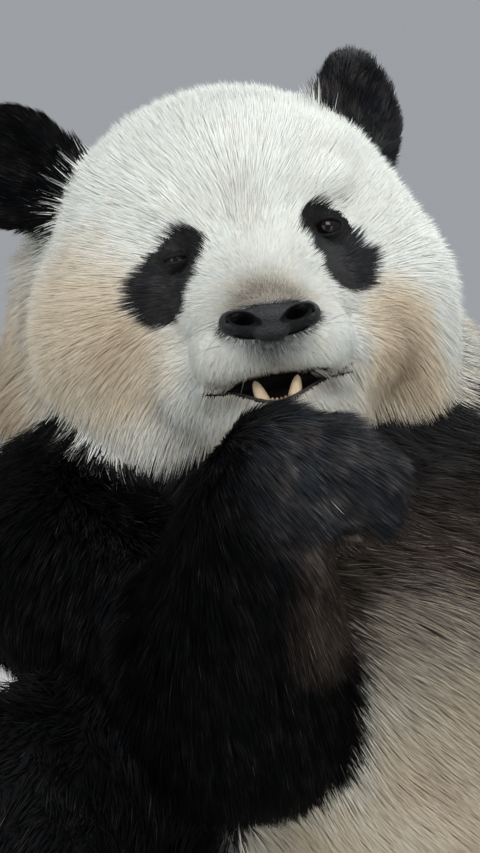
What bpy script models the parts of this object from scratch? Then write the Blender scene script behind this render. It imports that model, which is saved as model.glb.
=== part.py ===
"""A seated giant panda, life size, as a still museum model.

The panda sits on its rump and leans back and to its right. Its right forepaw is
raised in a loose fist before its chin, its left forepaw rests on its left knee,
and its hind feet lie in front with the soles forward.

Metres, +Z up. The panda faces -Y, its left side is at +X, and the origin is on
the floor, in the middle of the flat that its rump rests on. Every solid reaches
out to the tips of the coat.
"""

import math

import bmesh
import bpy
from mathutils import Matrix, Vector

# Driving sizes.
HEAD_WIDTH = 0.345  # across the cheeks, with the coat
GAP = 0.0004  # between neighbouring solids
PLANE_GAP = 0.0006  # between the two sides of a straight cut
BEYOND = 1.5  # longer than the whole panda
FINE_COST = 0.00005  # how much sooner the coarse side of a form is thinned
SIDES = {"right": -1, "left": 1}

# Where the head is held, and how it is turned from facing straight along -Y.
EYES_MIDDLE = Vector((-0.127, -0.040, 0.677))
HEAD_PITCH_UP = math.radians(12)
HEAD_TURN_LEFT = math.radians(4)
HEAD_ROLL_RIGHT = math.radians(11.5)
HEAD_TURN = (
    Matrix.Rotation(-HEAD_ROLL_RIGHT, 3, "Y")
    @ Matrix.Rotation(HEAD_TURN_LEFT, 3, "Z")
    @ Matrix.Rotation(-HEAD_PITCH_UP, 3, "X")
)
UNIT = HEAD_WIDTH / 0.345  # scales the head's own sizes

# Triangles that each form is thinned to.
FACES = {
    "head": 1150,
    "nose": 110,
    "ear": 100,
    "trunk": 700,
    "arm": 460,
    "leg": 360,
    "tail": 70,
}

WHITE = (0.74, 0.70, 0.62)
CREAM = (0.60, 0.53, 0.42)
BLACK = (0.018, 0.018, 0.020)
LEATHER = (0.030, 0.030, 0.033)
HORN = (0.10, 0.085, 0.07)
GLOSS_BLACK = (0.010, 0.008, 0.007)


# Tools


def clear_scene():
    for obj in list(bpy.data.objects):
        bpy.data.objects.remove(obj)


def material(name, colour, roughness):
    made = bpy.data.materials.get(name)
    if made:
        return made
    made = bpy.data.materials.new(name)
    made.use_nodes = True
    shader = made.node_tree.nodes["Principled BSDF"]
    shader.inputs["Base Color"].default_value = (*colour, 1)
    shader.inputs["Roughness"].default_value = roughness
    return made


def object_of(name, mesh):
    obj = bpy.data.objects.new(name, mesh)
    bpy.context.scene.collection.objects.link(obj)
    return obj


def mesh_of(name, bm):
    mesh = bpy.data.meshes.new(name)
    bmesh.ops.recalc_face_normals(bm, faces=bm.faces)
    bm.to_mesh(mesh)
    bm.free()
    return mesh


def settle(obj):
    """Bakes the object's modifiers into its own mesh."""
    bpy.context.view_layer.update()
    graph = bpy.context.evaluated_depsgraph_get()
    mesh = bpy.data.meshes.new_from_object(obj.evaluated_get(graph))
    obj.modifiers.clear()
    obj.data = mesh
    return obj


def ball(bm, centre, radii, turn=None, detail=3):
    """Adds an ellipsoid and returns its vertices."""
    place = Matrix.Translation(centre)
    if turn is not None:
        place = place @ turn.to_4x4()
    size = Matrix.Diagonal((*radii, 1))
    made = bmesh.ops.create_icosphere(
        bm, subdivisions=detail, radius=1, matrix=place @ size
    )
    return made["verts"]


def hull(bm, sections, detail=3):
    """Adds the closed hull round several ellipsoids, each (centre, radii)."""
    cloud = bmesh.new()
    for centre, radii in sections:
        ball(cloud, centre, radii, detail=detail)
    bmesh.ops.delete(cloud, geom=cloud.edges[:], context="EDGES_FACES")
    bmesh.ops.convex_hull(cloud, input=cloud.verts)
    inside = [v for v in cloud.verts if not v.link_faces]
    bmesh.ops.delete(cloud, geom=inside, context="VERTS")
    held = bpy.data.meshes.new("hull")
    cloud.to_mesh(held)
    cloud.free()
    bm.from_mesh(held)
    bpy.data.meshes.remove(held)


def chain(bm, sections):
    """Adds a limb or a body as the hulls of each two neighbouring sections."""
    for first, second in zip(sections, sections[1:]):
        hull(bm, (first, second))


def thinned(obj, faces, fine=None):
    """Collapses edges down to a number of triangles, last where fine(point) is 1."""
    # A vertex whose weight is 0 would never collapse.
    obj.data.calc_loop_triangles()
    thin = obj.modifiers.new("thin", "DECIMATE")
    thin.ratio = min(1.0, faces / len(obj.data.loop_triangles))
    thin.use_collapse_triangulate = True
    if fine:
        group = obj.vertex_groups.new(name="fine")
        for vertex in obj.data.vertices:
            group.add([vertex.index], 0.05 + 0.95 * fine(vertex.co), "REPLACE")
        thin.vertex_group = group.name
        thin.vertex_group_factor = FINE_COST
    return settle(obj)


def grown(name, bm, voxel, rounds, faces, fine=None):
    """One smooth skin round all that bm holds, thinned to a number of triangles."""
    obj = object_of(name, mesh_of(name, bm))
    remesh = obj.modifiers.new("one skin", "REMESH")
    remesh.mode = "VOXEL"
    remesh.voxel_size = voxel
    smooth = obj.modifiers.new("blend", "SMOOTH")
    smooth.factor = 0.5
    smooth.iterations = rounds
    settle(obj)
    return thinned(obj, faces, fine)


def swollen(obj, by):
    """A cutter: a copy of obj whose surface stands out by the gap."""
    mesh = obj.data.copy()
    normals = [v.normal.copy() for v in mesh.vertices]
    for vertex, normal in zip(mesh.vertices, normals):
        vertex.co += normal * by
    copy = object_of(obj.name + "_cutter", mesh)
    copy.matrix_world = obj.matrix_world
    return copy


def combine(obj, other, operation):
    step = obj.modifiers.new(operation.lower(), "BOOLEAN")
    step.operation = operation
    step.solver = "EXACT"
    step.object = other
    settle(obj)
    bpy.data.objects.remove(other)
    return obj


def keep_largest_body(obj):
    """Drops the slivers that a cut can leave beside the body."""
    bm = bmesh.new()
    bm.from_mesh(obj.data)
    unseen = set(bm.verts)
    bodies = []
    while unseen:
        body = set()
        front = [unseen.pop()]
        while front:
            vertex = front.pop()
            body.add(vertex)
            for edge in vertex.link_edges:
                other = edge.other_vert(vertex)
                if other in unseen:
                    unseen.discard(other)
                    front.append(other)
        bodies.append(body)
    bodies.sort(key=len)
    slivers = [vertex for body in bodies[:-1] for vertex in body]
    bmesh.ops.delete(bm, geom=slivers, context="VERTS")
    bm.to_mesh(obj.data)
    bm.free()


def make_room(obj, *neighbours):
    """Cuts from obj the space of each neighbour and a thin gap round it."""
    for neighbour in neighbours:
        combine(obj, swollen(neighbour, GAP), "DIFFERENCE")
    keep_largest_body(obj)


def half(obj, name, point, normal):
    """A copy of the part of obj on the side of a plane that normal points to."""
    normal = Vector(normal).normalized()
    turn = normal.to_track_quat("Z", "Y").to_matrix()
    centre = Vector(point) + normal * (PLANE_GAP / 2 - BEYOND)
    box = bmesh.new()
    place = Matrix.Translation(centre) @ turn.to_4x4()
    bmesh.ops.create_cube(box, size=2 * BEYOND, matrix=place)
    kept = object_of(name, obj.data.copy())
    combine(kept, object_of("away", mesh_of("away", box)), "DIFFERENCE")
    keep_largest_body(kept)
    return kept


def parted(obj, near, far, point, normal):
    """Divides obj in two at a plane whose normal points to the far piece."""
    first = half(obj, near, point, -Vector(normal))
    second = half(obj, far, point, normal)
    bpy.data.objects.remove(obj)
    return first, second


def on_floor(obj):
    """Cuts obj off level at the floor, so that it rests on a flat."""
    name = obj.name
    obj.name = name + "_whole"
    standing = half(obj, name, (0, 0, -PLANE_GAP / 2), (0, 0, 1))
    bpy.data.objects.remove(obj)
    return standing


def finish(obj, name, finish_material):
    obj.name = name
    obj.data.name = name
    obj.data.materials.clear()
    obj.data.materials.append(finish_material)
    obj.data.shade_smooth()
    obj.data.set_sharp_from_angle(angle=math.radians(50))
    return obj


# Head, in its own axes: the origin is midway between the eyes, -Y is the way the
# face looks and +Z is its crown.
EYES = {
    "right": Vector((-0.0684, -0.0045, -0.0075)),
    "left": Vector((0.0645, 0.0005, -0.0055)),
}
EYEBALL = 0.0125
SKULL_X = -0.009  # the coat is fuller on the right cheek, which it leans over
NOSE = Vector((0, -0.1110, -0.086))
MOUTH_Z = -0.132
MOUTH_HALF = 0.065

# The snout is held a little to the right of the skull's middle and nearer to level.
SNOUT_LENGTH = 0.075  # from where it leaves the face to where the whole of it is shifted
SNOUT_SHIFT = -0.0088
SNOUT_LEVEL = math.radians(4.5)
SNOUT_HEIGHT = -0.105


def snout(point):
    """Where a point of a straight and symmetric snout lies."""
    x, y, z = point
    share = max(0.0, min(1.0, -y / SNOUT_LENGTH))
    turn = SNOUT_LEVEL * share
    up = z - SNOUT_HEIGHT
    across = x * math.cos(turn) + up * math.sin(turn) + SNOUT_SHIFT * share
    return Vector((across, y, SNOUT_HEIGHT + up * math.cos(turn) - x * math.sin(turn)))


def head_to_world(point):
    return EYES_MIDDLE + HEAD_TURN @ (Vector(point) * UNIT)


def on_face(bm):
    """Moves what bm holds from the head's own axes to its place."""
    place = Matrix.Translation(EYES_MIDDLE) @ HEAD_TURN.to_4x4() @ Matrix.Scale(UNIT, 4)
    bmesh.ops.transform(bm, matrix=place, verts=bm.verts)


def face_share(point):
    """1 on the face, 0 at the back of the head."""
    behind = (HEAD_TURN.transposed() @ (point - EYES_MIDDLE)).y
    return max(0.0, min(1.0, (0.060 - behind) / 0.080))


def head_form():
    bm = bmesh.new()
    skull = [((SKULL_X - 0.004, 0.115, 0.018), (0.160, 0.148, 0.144))]
    for side in SIDES.values():
        cheek = SKULL_X + side * 0.095
        jowl = SKULL_X + side * 0.080
        skull.append(((cheek, 0.094, -0.058), (0.092, 0.104, 0.098)))
        skull.append(((jowl, 0.088, -0.128), (0.092, 0.090, 0.082)))
        ball(bm, (side * 0.052, 0.004, 0.030), (0.042, 0.032, 0.030))  # brow
        ball(bm, snout((side * 0.030, -0.066, -0.103)), (0.041, 0.041, 0.034))  # upper lip
        ball(bm, (side * 0.068, 0.004, -0.112), (0.040, 0.044, 0.042))  # beside the mouth
    hull(bm, skull)
    ball(bm, (0, 0.050, 0.045), (0.114, 0.084, 0.084))  # forehead
    muzzle = [
        ((0, 0.000, -0.048), (0.084, 0.054, 0.064)),
        (snout((0, -0.045, -0.076)), (0.064, 0.042, 0.048)),
        (snout((0, -0.080, -0.088)), (0.048, 0.027, 0.034)),
    ]
    chain(bm, muzzle)
    jaw = [
        ((0, 0.030, -0.140), (0.090, 0.060, 0.062)),
        (snout((0, -0.046, -0.155)), (0.046, 0.036, 0.026)),
    ]
    chain(bm, jaw)
    on_face(bm)
    return grown("head", bm, 0.005, 7, FACES["head"], fine=face_share)


def eye_solid(eye):
    bm = bmesh.new()
    ball(bm, head_to_world(eye), (EYEBALL,) * 3, detail=2)
    return object_of("eye", mesh_of("eye", bm))


def eye_opening(eye, side):
    """The room in the coat before the eye: it narrows to the slit of the lids."""
    bm = bmesh.new()
    front = eye + Vector((side * 0.004, -0.032, 0))
    hull(bm, [(eye, (EYEBALL + GAP * 2,) * 3), (front, (0.011, 0.005, 0.006))], detail=2)
    on_face(bm)
    return object_of("eye_opening", mesh_of("eye_opening", bm))


def nose_solid():
    """The leather pad, with a blind nostril on each side."""
    bm = bmesh.new()
    pad = [(snout(NOSE + Vector((0, 0.000, -0.011))), (0.018, 0.010, 0.010))]
    for side in SIDES.values():
        lobe = snout(NOSE + Vector((side * 0.024, 0.004, 0.007)))
        pad.append((lobe, (0.0165, 0.013, 0.0105)))
    hull(bm, pad)
    on_face(bm)
    nose = thinned(object_of("nose", mesh_of("nose", bm)), FACES["nose"])
    for side in SIDES.values():
        hole = bmesh.new()
        at = head_to_world(snout(NOSE + Vector((side * 0.0225, -0.010, 0.001))))
        ball(hole, at, (0.0125, 0.010, 0.0048), HEAD_TURN, detail=1)
        cutter = object_of("nostril", mesh_of("nostril", hole))
        combine(nose, cutter, "DIFFERENCE")
    return nose


def mouth_opening():
    """The gap between the lips, widest in front."""
    bm = bmesh.new()
    gap = [(snout((0, -0.104, MOUTH_Z)), (0.030, 0.012, 0.0100))]
    for side in SIDES.values():
        corner = snout((side * MOUTH_HALF, -0.044, MOUTH_Z + 0.004))
        gap.append((corner, (0.005, 0.010, 0.0025)))
    hull(bm, gap, detail=1)
    on_face(bm)
    return object_of("mouth_opening", mesh_of("mouth_opening", bm))


def canine(side):
    """A lower canine tooth, which grows up out of the jaw."""
    bm = bmesh.new()
    root = snout((side * 0.0165, -0.070, MOUTH_Z - 0.018))
    tip = snout((side * 0.0180, -0.078, MOUTH_Z + 0.0060))
    hull(bm, [(root, (0.0048, 0.0052, 0.004)), (tip, (0.0014,) * 3)], detail=1)
    on_face(bm)
    return object_of("canine", mesh_of("canine", bm))


# The ears are round cups. Each has a place, and an angle by which it leans out.
EARS = {
    "right": (Vector((-0.190, 0.120, 0.128)), 56, 12),
    "left": (Vector((0.128, 0.126, 0.114)), 34, 48),
}
EAR_RADIUS = 0.066
EAR_THICKNESS = 0.018


def ear_form(side_name):
    """A round disc with a hollow front and a thick foot."""
    centre, lean, swivel = EARS[side_name]
    side = SIDES[side_name]
    turn = (
        Matrix.Rotation(math.radians(side * swivel), 3, "Z")
        @ Matrix.Rotation(math.radians(side * lean), 3, "Y")
    )
    place = Matrix.Translation(centre) @ turn.to_4x4()
    bm = bmesh.new()
    disc = [((0, EAR_THICKNESS, -EAR_RADIUS * 0.25), (0.030, 0.012, 0.030))]
    for step in range(16):
        angle = 2 * math.pi * step / 16
        at = (math.cos(angle) * 0.80 * EAR_RADIUS, 0, math.sin(angle) * 0.86 * EAR_RADIUS)
        disc.append((at, (0.011,) * 3))
    hull(bm, disc, detail=2)
    foot = ((0, 0.006, -EAR_RADIUS * 0.80), (0.046, 0.026, 0.034))
    ball(bm, *foot)
    bmesh.ops.transform(bm, matrix=place, verts=bm.verts)
    on_face(bm)
    ear = grown("ear", bm, 0.0045, 5, FACES["ear"])
    hollow = bmesh.new()
    ball(hollow, (0, -0.022, 0.004), (EAR_RADIUS * 0.64, 0.024, EAR_RADIUS * 0.68), detail=2)
    bmesh.ops.transform(hollow, matrix=place, verts=hollow.verts)
    on_face(hollow)
    return combine(ear, object_of("hollow", mesh_of("hollow", hollow)), "DIFFERENCE")


# Trunk and neck, as (centre, radii) from the rump up.
RUMP = ((0.000, 0.000, 0.180), (0.264, 0.235, 0.212))
BELLY = ((-0.012, 0.000, 0.300), (0.278, 0.250, 0.190))
RIBS = ((-0.060, 0.105, 0.430), (0.256, 0.200, 0.160))
SHOULDERS = ((-0.130, 0.150, 0.530), (0.245, 0.168, 0.120))
NAPE = ((-0.180, 0.155, 0.625), (0.176, 0.138, 0.102))
THROAT = ((-0.145, 0.125, 0.650), (0.145, 0.110, 0.115))
NECK_CUT = (Vector((-0.150, 0.120, 0.560)), Vector((-0.19, -0.48, 1.00)))
WAIST_CUT = (Vector((-0.050, 0.050, 0.430)), Vector((0, -0.19, 0.98)))
TAIL = (
    ((0.000, 0.180, 0.085), (0.056, 0.040, 0.050)),
    ((0.006, 0.244, 0.050), (0.052, 0.040, 0.048)),
    ((0.014, 0.290, 0.036), (0.036, 0.026, 0.034)),
)


def trunk_form():
    bm = bmesh.new()
    chain(bm, [RUMP, BELLY, RIBS, SHOULDERS, NAPE, THROAT])
    return grown("trunk", bm, 0.011, 24, FACES["trunk"])


def tail_form():
    bm = bmesh.new()
    chain(bm, TAIL)
    return grown("tail", bm, 0.007, 4, FACES["tail"])


# Paws, in their own axes: the origin is at the wrist or ankle, +Y runs to the
# toes, +Z is the back of the paw and +X is its outer side.
def toe_roots(width):
    """Where the five toes leave knuckles of this width, across them and ahead."""
    for number in range(5):
        across = (number - 2) / 2
        yield number, across * width * 0.40, 0.010 * (1 - across * across)


def paw_sections(width, length, depth, spread):
    return [
        ((0, 0.000, 0.000), (width * 0.36, 0.040, depth * 0.52)),
        ((0, length * 0.34, 0.000), (width * 0.44, 0.038, depth * 0.50)),
        ((0, length * 0.60, -0.004), (width * 0.50 * spread, 0.030, depth * 0.42)),
    ]


def paw_form(bm, claws, width, length, depth, spread, curls, frame):
    """Adds a paw to bm. spread is how wide the knuckles are for the palm, and curls
    are how far the toes bend down at each of three joints. claws receives where each
    claw starts and the way it points."""
    paw = bmesh.new()
    chain(paw, paw_sections(width, length, depth, spread))
    radius = width * 0.118 * math.sqrt(spread)
    for number, across, ahead in toe_roots(width * spread):
        at = Vector((across, length * 0.60 + ahead, 0.002))
        bend = 0
        fan = Vector((across / width * 0.5, 1, 0)).normalized()
        joints = [(at.copy(), radius * 1.15)]
        for curl, share in zip(curls, (0.24, 0.20)):
            bend += math.radians(curl)
            way = fan * math.cos(bend) + Vector((0, 0, -1)) * math.sin(bend)
            at = at + way * length * share
            joints.append((at.copy(), radius * (1.06 - 0.22 * share)))
        for (a, size_a), (b, size_b) in zip(joints, joints[1:]):
            hull(paw, [(a, (size_a,) * 3), (b, (size_b,) * 3)], detail=2)
        bend += math.radians(curls[2])
        way = fan * math.cos(bend) + Vector((0, 0, -1)) * math.sin(bend)
        under = fan * math.sin(bend) * -1 + Vector((0, 0, -1)) * math.cos(bend)
        claws.append(
            (frame @ (at + way * radius * 0.45), frame.to_3x3() @ way, frame.to_3x3() @ under)
        )
    bmesh.ops.transform(paw, matrix=frame, verts=paw.verts)
    held = bpy.data.meshes.new("paw")
    paw.to_mesh(held)
    paw.free()
    bm.from_mesh(held)
    bpy.data.meshes.remove(held)


CLAW_RADIUS = 0.0058
CLAW_ARC = 0.027


def claw_solid(start, way, under, length):
    """A curved, tapered claw that bends towards the sole."""
    bm = bmesh.new()
    rings, sides = 4, 6
    bend = math.radians(70)
    arc = length / bend
    across = way.cross(under).normalized()
    loops = []
    for ring in range(rings):
        share = ring / rings
        angle = bend * share
        centre = start + way * math.sin(angle) * arc + under * (1 - math.cos(angle)) * arc
        up = -(under * math.cos(angle) - way * math.sin(angle))
        radius = CLAW_RADIUS * (1 - share) ** 0.6
        loop = []
        for step in range(sides):
            turn = 2 * math.pi * step / sides
            offset = across * math.cos(turn) * 0.62 + up * math.sin(turn)
            loop.append(bm.verts.new(centre + offset * radius))
        loops.append(loop)
    for near, far in zip(loops, loops[1:]):
        for step in range(sides):
            nxt = (step + 1) % sides
            bm.faces.new((near[step], near[nxt], far[nxt], far[step]))
    bm.faces.new(reversed(loops[0]))
    tip = bm.verts.new(
        start + way * math.sin(bend) * arc + under * (1 - math.cos(bend)) * arc
    )
    for step in range(sides):
        bm.faces.new((loops[-1][step], loops[-1][(step + 1) % sides], tip))
    return object_of("claw", mesh_of("claw", bm))


def frame_at(origin, toes, back):
    """The matrix from a paw's own axes: its toes' direction and its back's."""
    y = Vector(toes).normalized()
    z = Vector(back)
    z = (z - y * z.dot(y)).normalized()
    x = y.cross(z)
    return Matrix.Translation(origin) @ Matrix((x, y, z)).transposed().to_4x4()


# Limbs: joints and radii, and how each paw is held.
ARMS = {
    "right": {
        "chain": [
            ((-0.262, 0.060, 0.430), (0.105, 0.105, 0.105)),
            ((-0.274, -0.045, 0.385), (0.106, 0.106, 0.106)),
            ((-0.140, -0.206, 0.316), (0.104, 0.096, 0.106)),
            ((-0.132, -0.262, 0.466), (0.058, 0.064, 0.070)),
        ],
        "wrist": (-0.110, -0.262, 0.513),
        "toes": (0.95, -0.10, -0.10),
        "back": (0.18, -0.66, 0.73),
        "curls": (56, 64, 25),
        "paw": {"width": 0.116, "length": 0.120, "depth": 0.088, "spread": 0.60},
    },
    "left": {
        "chain": [
            ((0.060, 0.100, 0.450), (0.100, 0.100, 0.100)),
            ((0.135, 0.035, 0.420), (0.104, 0.104, 0.106)),
            ((0.280, -0.015, 0.320), (0.092, 0.092, 0.096)),
            ((0.290, -0.205, 0.292), (0.074, 0.074, 0.070)),
        ],
        "wrist": (0.292, -0.225, 0.290),
        "toes": (0.08, -0.96, -0.20),
        "back": (0.05, -0.20, 0.96),
        "curls": (14, 18, 30),
        "paw": {"width": 0.118, "length": 0.114, "depth": 0.088, "spread": 1.0},
    },
}
LEGS = {
    "right": {
        "chain": [
            ((-0.150, 0.010, 0.190), (0.146, 0.146, 0.146)),
            ((-0.325, -0.250, 0.220), (0.114, 0.114, 0.114)),
            ((-0.290, -0.440, 0.085), (0.076, 0.076, 0.080)),
            ((-0.285, -0.520, 0.064), (0.060, 0.056, 0.068)),
        ],
        "ankle": (-0.285, -0.535, 0.062),
        "toes": (-0.20, -0.20, 0.95),
        "back": (0.10, 0.97, 0.22),
        "curls": (2, 10, 25),
    },
    "left": {
        "chain": [
            ((0.140, 0.010, 0.150), (0.140, 0.140, 0.140)),
            ((0.325, -0.245, 0.118), (0.112, 0.112, 0.112)),
            ((0.300, -0.445, 0.076), (0.076, 0.076, 0.080)),
            ((0.298, -0.525, 0.064), (0.060, 0.056, 0.068)),
        ],
        "ankle": (0.298, -0.540, 0.062),
        "toes": (0.24, -0.22, 0.95),
        "back": (-0.12, 0.97, 0.22),
        "curls": (2, 10, 25),
    },
}
for leg in LEGS.values():
    leg["paw"] = {"width": 0.112, "length": 0.135, "depth": 0.086, "spread": 1.0}


def limb_form(name, limb, joint, faces):
    """A whole limb with its paw, and where its claws go."""
    bm = bmesh.new()
    claws = []
    chain(bm, limb["chain"])
    frame = frame_at(limb[joint], limb["toes"], limb["back"])
    hull(bm, [limb["chain"][-1], (limb[joint], (0.052, 0.052, 0.050))])
    paw_form(bm, claws, curls=limb["curls"], frame=frame, **limb["paw"])
    return grown(name, bm, 0.0065, 5, faces), claws


def part_limb(limb, form, names, joint):
    """The limb in three: above the bend, below it, and the paw."""
    upper, middle, lower = (Vector(limb["chain"][n][0]) for n in (1, 2, 3))
    bisector = (lower - middle).normalized() - (upper - middle).normalized()
    first, rest = parted(form, names[0], "rest", middle, bisector)
    along = Vector(limb[joint]) - lower + (lower - middle) * 0.2
    second, third = parted(rest, names[1], names[2], lower, along)
    return first, second, third


def claw_solids(name, claws, horn):
    made = []
    for number, (start, way, under) in enumerate(claws, 1):
        claw = claw_solid(start, way, under, CLAW_ARC)
        finish(claw, f"{name}_{number}", horn)
        made.append(claw)
    return made


def limb_solids(side_name, limb, words, joint, faces, claw_name, around, coats):
    """A limb with its claws, cut clear of what it lies against. Returns a copy of
    the whole limb, for what lies against it in turn."""
    form, places = limb_form(words[0], limb, joint, faces)
    form = on_floor(form)
    claws = claw_solids(f"{claw_name}_{side_name}", places, coats["horn"])
    make_room(form, *around)
    whole = swollen(form, 0)
    make_room(form, *claws)
    names = [f"{word}_{side_name}" for word in words]
    for piece, name in zip(part_limb(limb, form, names, joint), names):
        finish(piece, name, coats["black"])
    return whole


def main():
    clear_scene()
    coats = {
        "white": material("white_coat", WHITE, 0.85),
        "cream": material("cream_coat", CREAM, 0.85),
        "black": material("black_coat", BLACK, 0.70),
        "leather": material("nose_leather", LEATHER, 0.45),
        "horn": material("claw_horn", HORN, 0.40),
        "gloss": material("eye_gloss", GLOSS_BLACK, 0.08),
    }

    head = head_form()
    combine(head, mouth_opening(), "DIFFERENCE")
    for side in SIDES.values():
        combine(head, canine(side), "UNION")
    nose = nose_solid()
    make_room(head, nose)
    for side_name, side in SIDES.items():
        finish(eye_solid(EYES[side_name]), f"eye_{side_name}", coats["gloss"])
        combine(head, eye_opening(EYES[side_name], side), "DIFFERENCE")
    finish(nose, "nose", coats["leather"])

    trunk = on_floor(trunk_form())
    make_room(trunk, head)
    for side_name in SIDES:
        ear = ear_form(side_name)
        make_room(ear, head, trunk)
        finish(ear, f"ear_{side_name}", coats["black"])
    tail = on_floor(tail_form())
    make_room(tail, trunk)
    finish(tail, "tail", coats["white"])

    around = [head, trunk]
    for side_name, limb in LEGS.items():
        words = ("thigh", "shank", "hindpaw")
        around.append(
            limb_solids(side_name, limb, words, "ankle", FACES["leg"], "hind_claw", [trunk], coats)
        )
    for side_name, limb in ARMS.items():
        words = ("upper_arm", "forearm", "forepaw")
        whole = limb_solids(
            side_name, limb, words, "wrist", FACES["arm"], "fore_claw", around, coats
        )
        bpy.data.objects.remove(whole)
    for leg in around[2:]:
        bpy.data.objects.remove(leg)

    body, neck = parted(trunk, "body", "neck", *NECK_CUT)
    abdomen, chest = parted(body, "abdomen", "chest", *WAIST_CUT)
    finish(head, "head", coats["white"])
    finish(neck, "neck", coats["cream"])
    finish(chest, "chest", coats["black"])
    finish(abdomen, "abdomen", coats["white"])


main()
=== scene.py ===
"""The looks of a seated giant panda.

One skin is grown round all the flesh of the frame, a coat's depth inside it, and a
coat of solid tufts grows from that skin. Eyes with their lids, the nose leather, the
lips, the teeth, the claws, the pads and the whiskers are pieces of their own.
"""

import math

import bmesh
import bpy
import numpy as np
import openvdb
from mathutils import Matrix, Vector
from mathutils.bvhtree import BVHTree
from mathutils.kdtree import KDTree


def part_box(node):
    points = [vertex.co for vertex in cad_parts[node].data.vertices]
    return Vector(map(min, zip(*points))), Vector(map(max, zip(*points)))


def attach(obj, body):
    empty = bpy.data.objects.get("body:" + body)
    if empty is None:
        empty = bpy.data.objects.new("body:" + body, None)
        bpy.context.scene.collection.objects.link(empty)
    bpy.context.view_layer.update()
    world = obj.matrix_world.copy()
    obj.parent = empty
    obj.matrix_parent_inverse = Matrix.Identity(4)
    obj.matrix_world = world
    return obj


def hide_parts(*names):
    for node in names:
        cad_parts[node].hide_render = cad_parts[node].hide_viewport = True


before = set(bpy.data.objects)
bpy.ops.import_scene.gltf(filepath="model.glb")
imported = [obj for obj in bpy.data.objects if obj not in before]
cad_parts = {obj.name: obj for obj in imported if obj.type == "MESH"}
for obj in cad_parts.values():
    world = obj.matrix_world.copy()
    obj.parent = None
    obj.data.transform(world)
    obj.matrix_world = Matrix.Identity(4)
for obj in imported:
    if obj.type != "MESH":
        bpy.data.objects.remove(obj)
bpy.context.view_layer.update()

DICE = np.random.default_rng(20)
SIDES = {"right": -1, "left": 1}

# Camera: its distance from the eyes, how far it looks down, how tall the view is at
# the eyes and where the middle of the view lies from them, to the right and up.
CAMERA_DISTANCE = 2.2
CAMERA_DOWN = math.radians(6)
VIEW_HEIGHT = 0.725
VIEW_MIDDLE = (-0.0102, -0.1602)
SENSOR = 36.0

# The way the head is held.
HEAD_PITCH_UP = math.radians(12)
HEAD_TURN_LEFT = math.radians(4)
HEAD_ROLL_RIGHT = math.radians(11.5)

# The places in the head's own axes: -Y is the way the face looks, +Z its crown.
EYEBALL = 0.0125
EYE_PLACES = {
    "right": np.array((-0.0684, -0.0045, -0.0075)),
    "left": np.array((0.0645, 0.0005, -0.0055)),
}
# How far each eye is open: half its width, and its height above and below.
EYE_OPENINGS = {"right": (0.0095, 0.0008, 0.0014), "left": (0.0112, 0.0062, 0.0058)}

# The nose and the mouth, on a snout that is straight and symmetric.
NOSE = np.array((0, -0.1110, -0.0860))
MOUTH_Z = -0.132
MOUTH_HALF = 0.065
MOUTH_GAPE = 0.0135
MOUTH_SAG = 0.0045

# How the snout is then held: a little to the right and nearer to level.
SNOUT_LENGTH = 0.075
SNOUT_SHIFT = -0.0088
SNOUT_LEVEL = math.radians(4.5)
SNOUT_HEIGHT = -0.105

# The lower bound of the black band round the shoulders, as (point, normal).
WAIST_CUT = (np.array((-0.050, 0.050, 0.430)), np.array((0, -0.19, 0.98)))

FLESH = ["head", "neck", "chest", "abdomen", "tail"]
for side in SIDES:
    FLESH += [f"ear_{side}", f"upper_arm_{side}", f"forearm_{side}", f"forepaw_{side}"]
    FLESH += [f"thigh_{side}", f"shank_{side}", f"hindpaw_{side}"]

# How the coat grows on each part: its depth over the skin, the length of its hair,
# the width of a tuft and how closely the tufts stand.
COAT = {
    "head": (0.016, 0.030, 0.0018, 1.0),
    "neck": (0.024, 0.046, 0.0020, 1.0),
    "chest": (0.018, 0.042, 0.0018, 1.0),
    "abdomen": (0.013, 0.036, 0.0013, 1.0),
    "tail": (0.014, 0.036, 0.0024, 1.0),
    "ear": (0.004, 0.016, 0.0016, 1.6),
    "upper_arm": (0.019, 0.042, 0.0020, 1.0),
    "forearm": (0.015, 0.046, 0.0017, 1.3),
    "forepaw": (0.009, 0.031, 0.0014, 2.0),
    "thigh": (0.017, 0.038, 0.0024, 1.0),
    "shank": (0.012, 0.030, 0.0024, 1.2),
    "hindpaw": (0.006, 0.019, 0.0018, 2.0),
}


# Small tools


def rotation_of(matrix):
    return np.array(matrix)


HEAD_TURN = rotation_of(
    Matrix.Rotation(-HEAD_ROLL_RIGHT, 3, "Y")
    @ Matrix.Rotation(HEAD_TURN_LEFT, 3, "Z")
    @ Matrix.Rotation(-HEAD_PITCH_UP, 3, "X")
)


def centre_of(node):
    low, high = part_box(node)
    return (np.array(low) + np.array(high)) / 2


# The origin of the head's own axes.
EYES_MIDDLE = sum(
    centre_of(f"eye_{side}") - HEAD_TURN @ place for side, place in EYE_PLACES.items()
) / len(EYE_PLACES)


def to_head(points):
    """World points in the head's own axes."""
    return (np.asarray(points) - EYES_MIDDLE) @ HEAD_TURN


def from_head(points):
    return np.asarray(points) @ HEAD_TURN.T + EYES_MIDDLE


def turned_snout(points, way):
    points = np.asarray(points, np.float64)
    share = np.clip(-points[..., 1] / SNOUT_LENGTH, 0, 1)
    across, up = points[..., 0].copy(), points[..., 2] - SNOUT_HEIGHT
    if way < 0:
        across -= SNOUT_SHIFT * share
    cosine, sine = np.cos(SNOUT_LEVEL * share), np.sin(SNOUT_LEVEL * share) * way
    across, up = across * cosine + up * sine, up * cosine - across * sine
    if way > 0:
        across += SNOUT_SHIFT * share
    return np.stack([across, points[..., 1], up + SNOUT_HEIGHT], axis=-1)


def snout(points):
    """Where points of the straight snout lie, in the head's own axes."""
    return turned_snout(points, 1)


def straight(points):
    """The way back from snout."""
    return turned_snout(points, -1)


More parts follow.
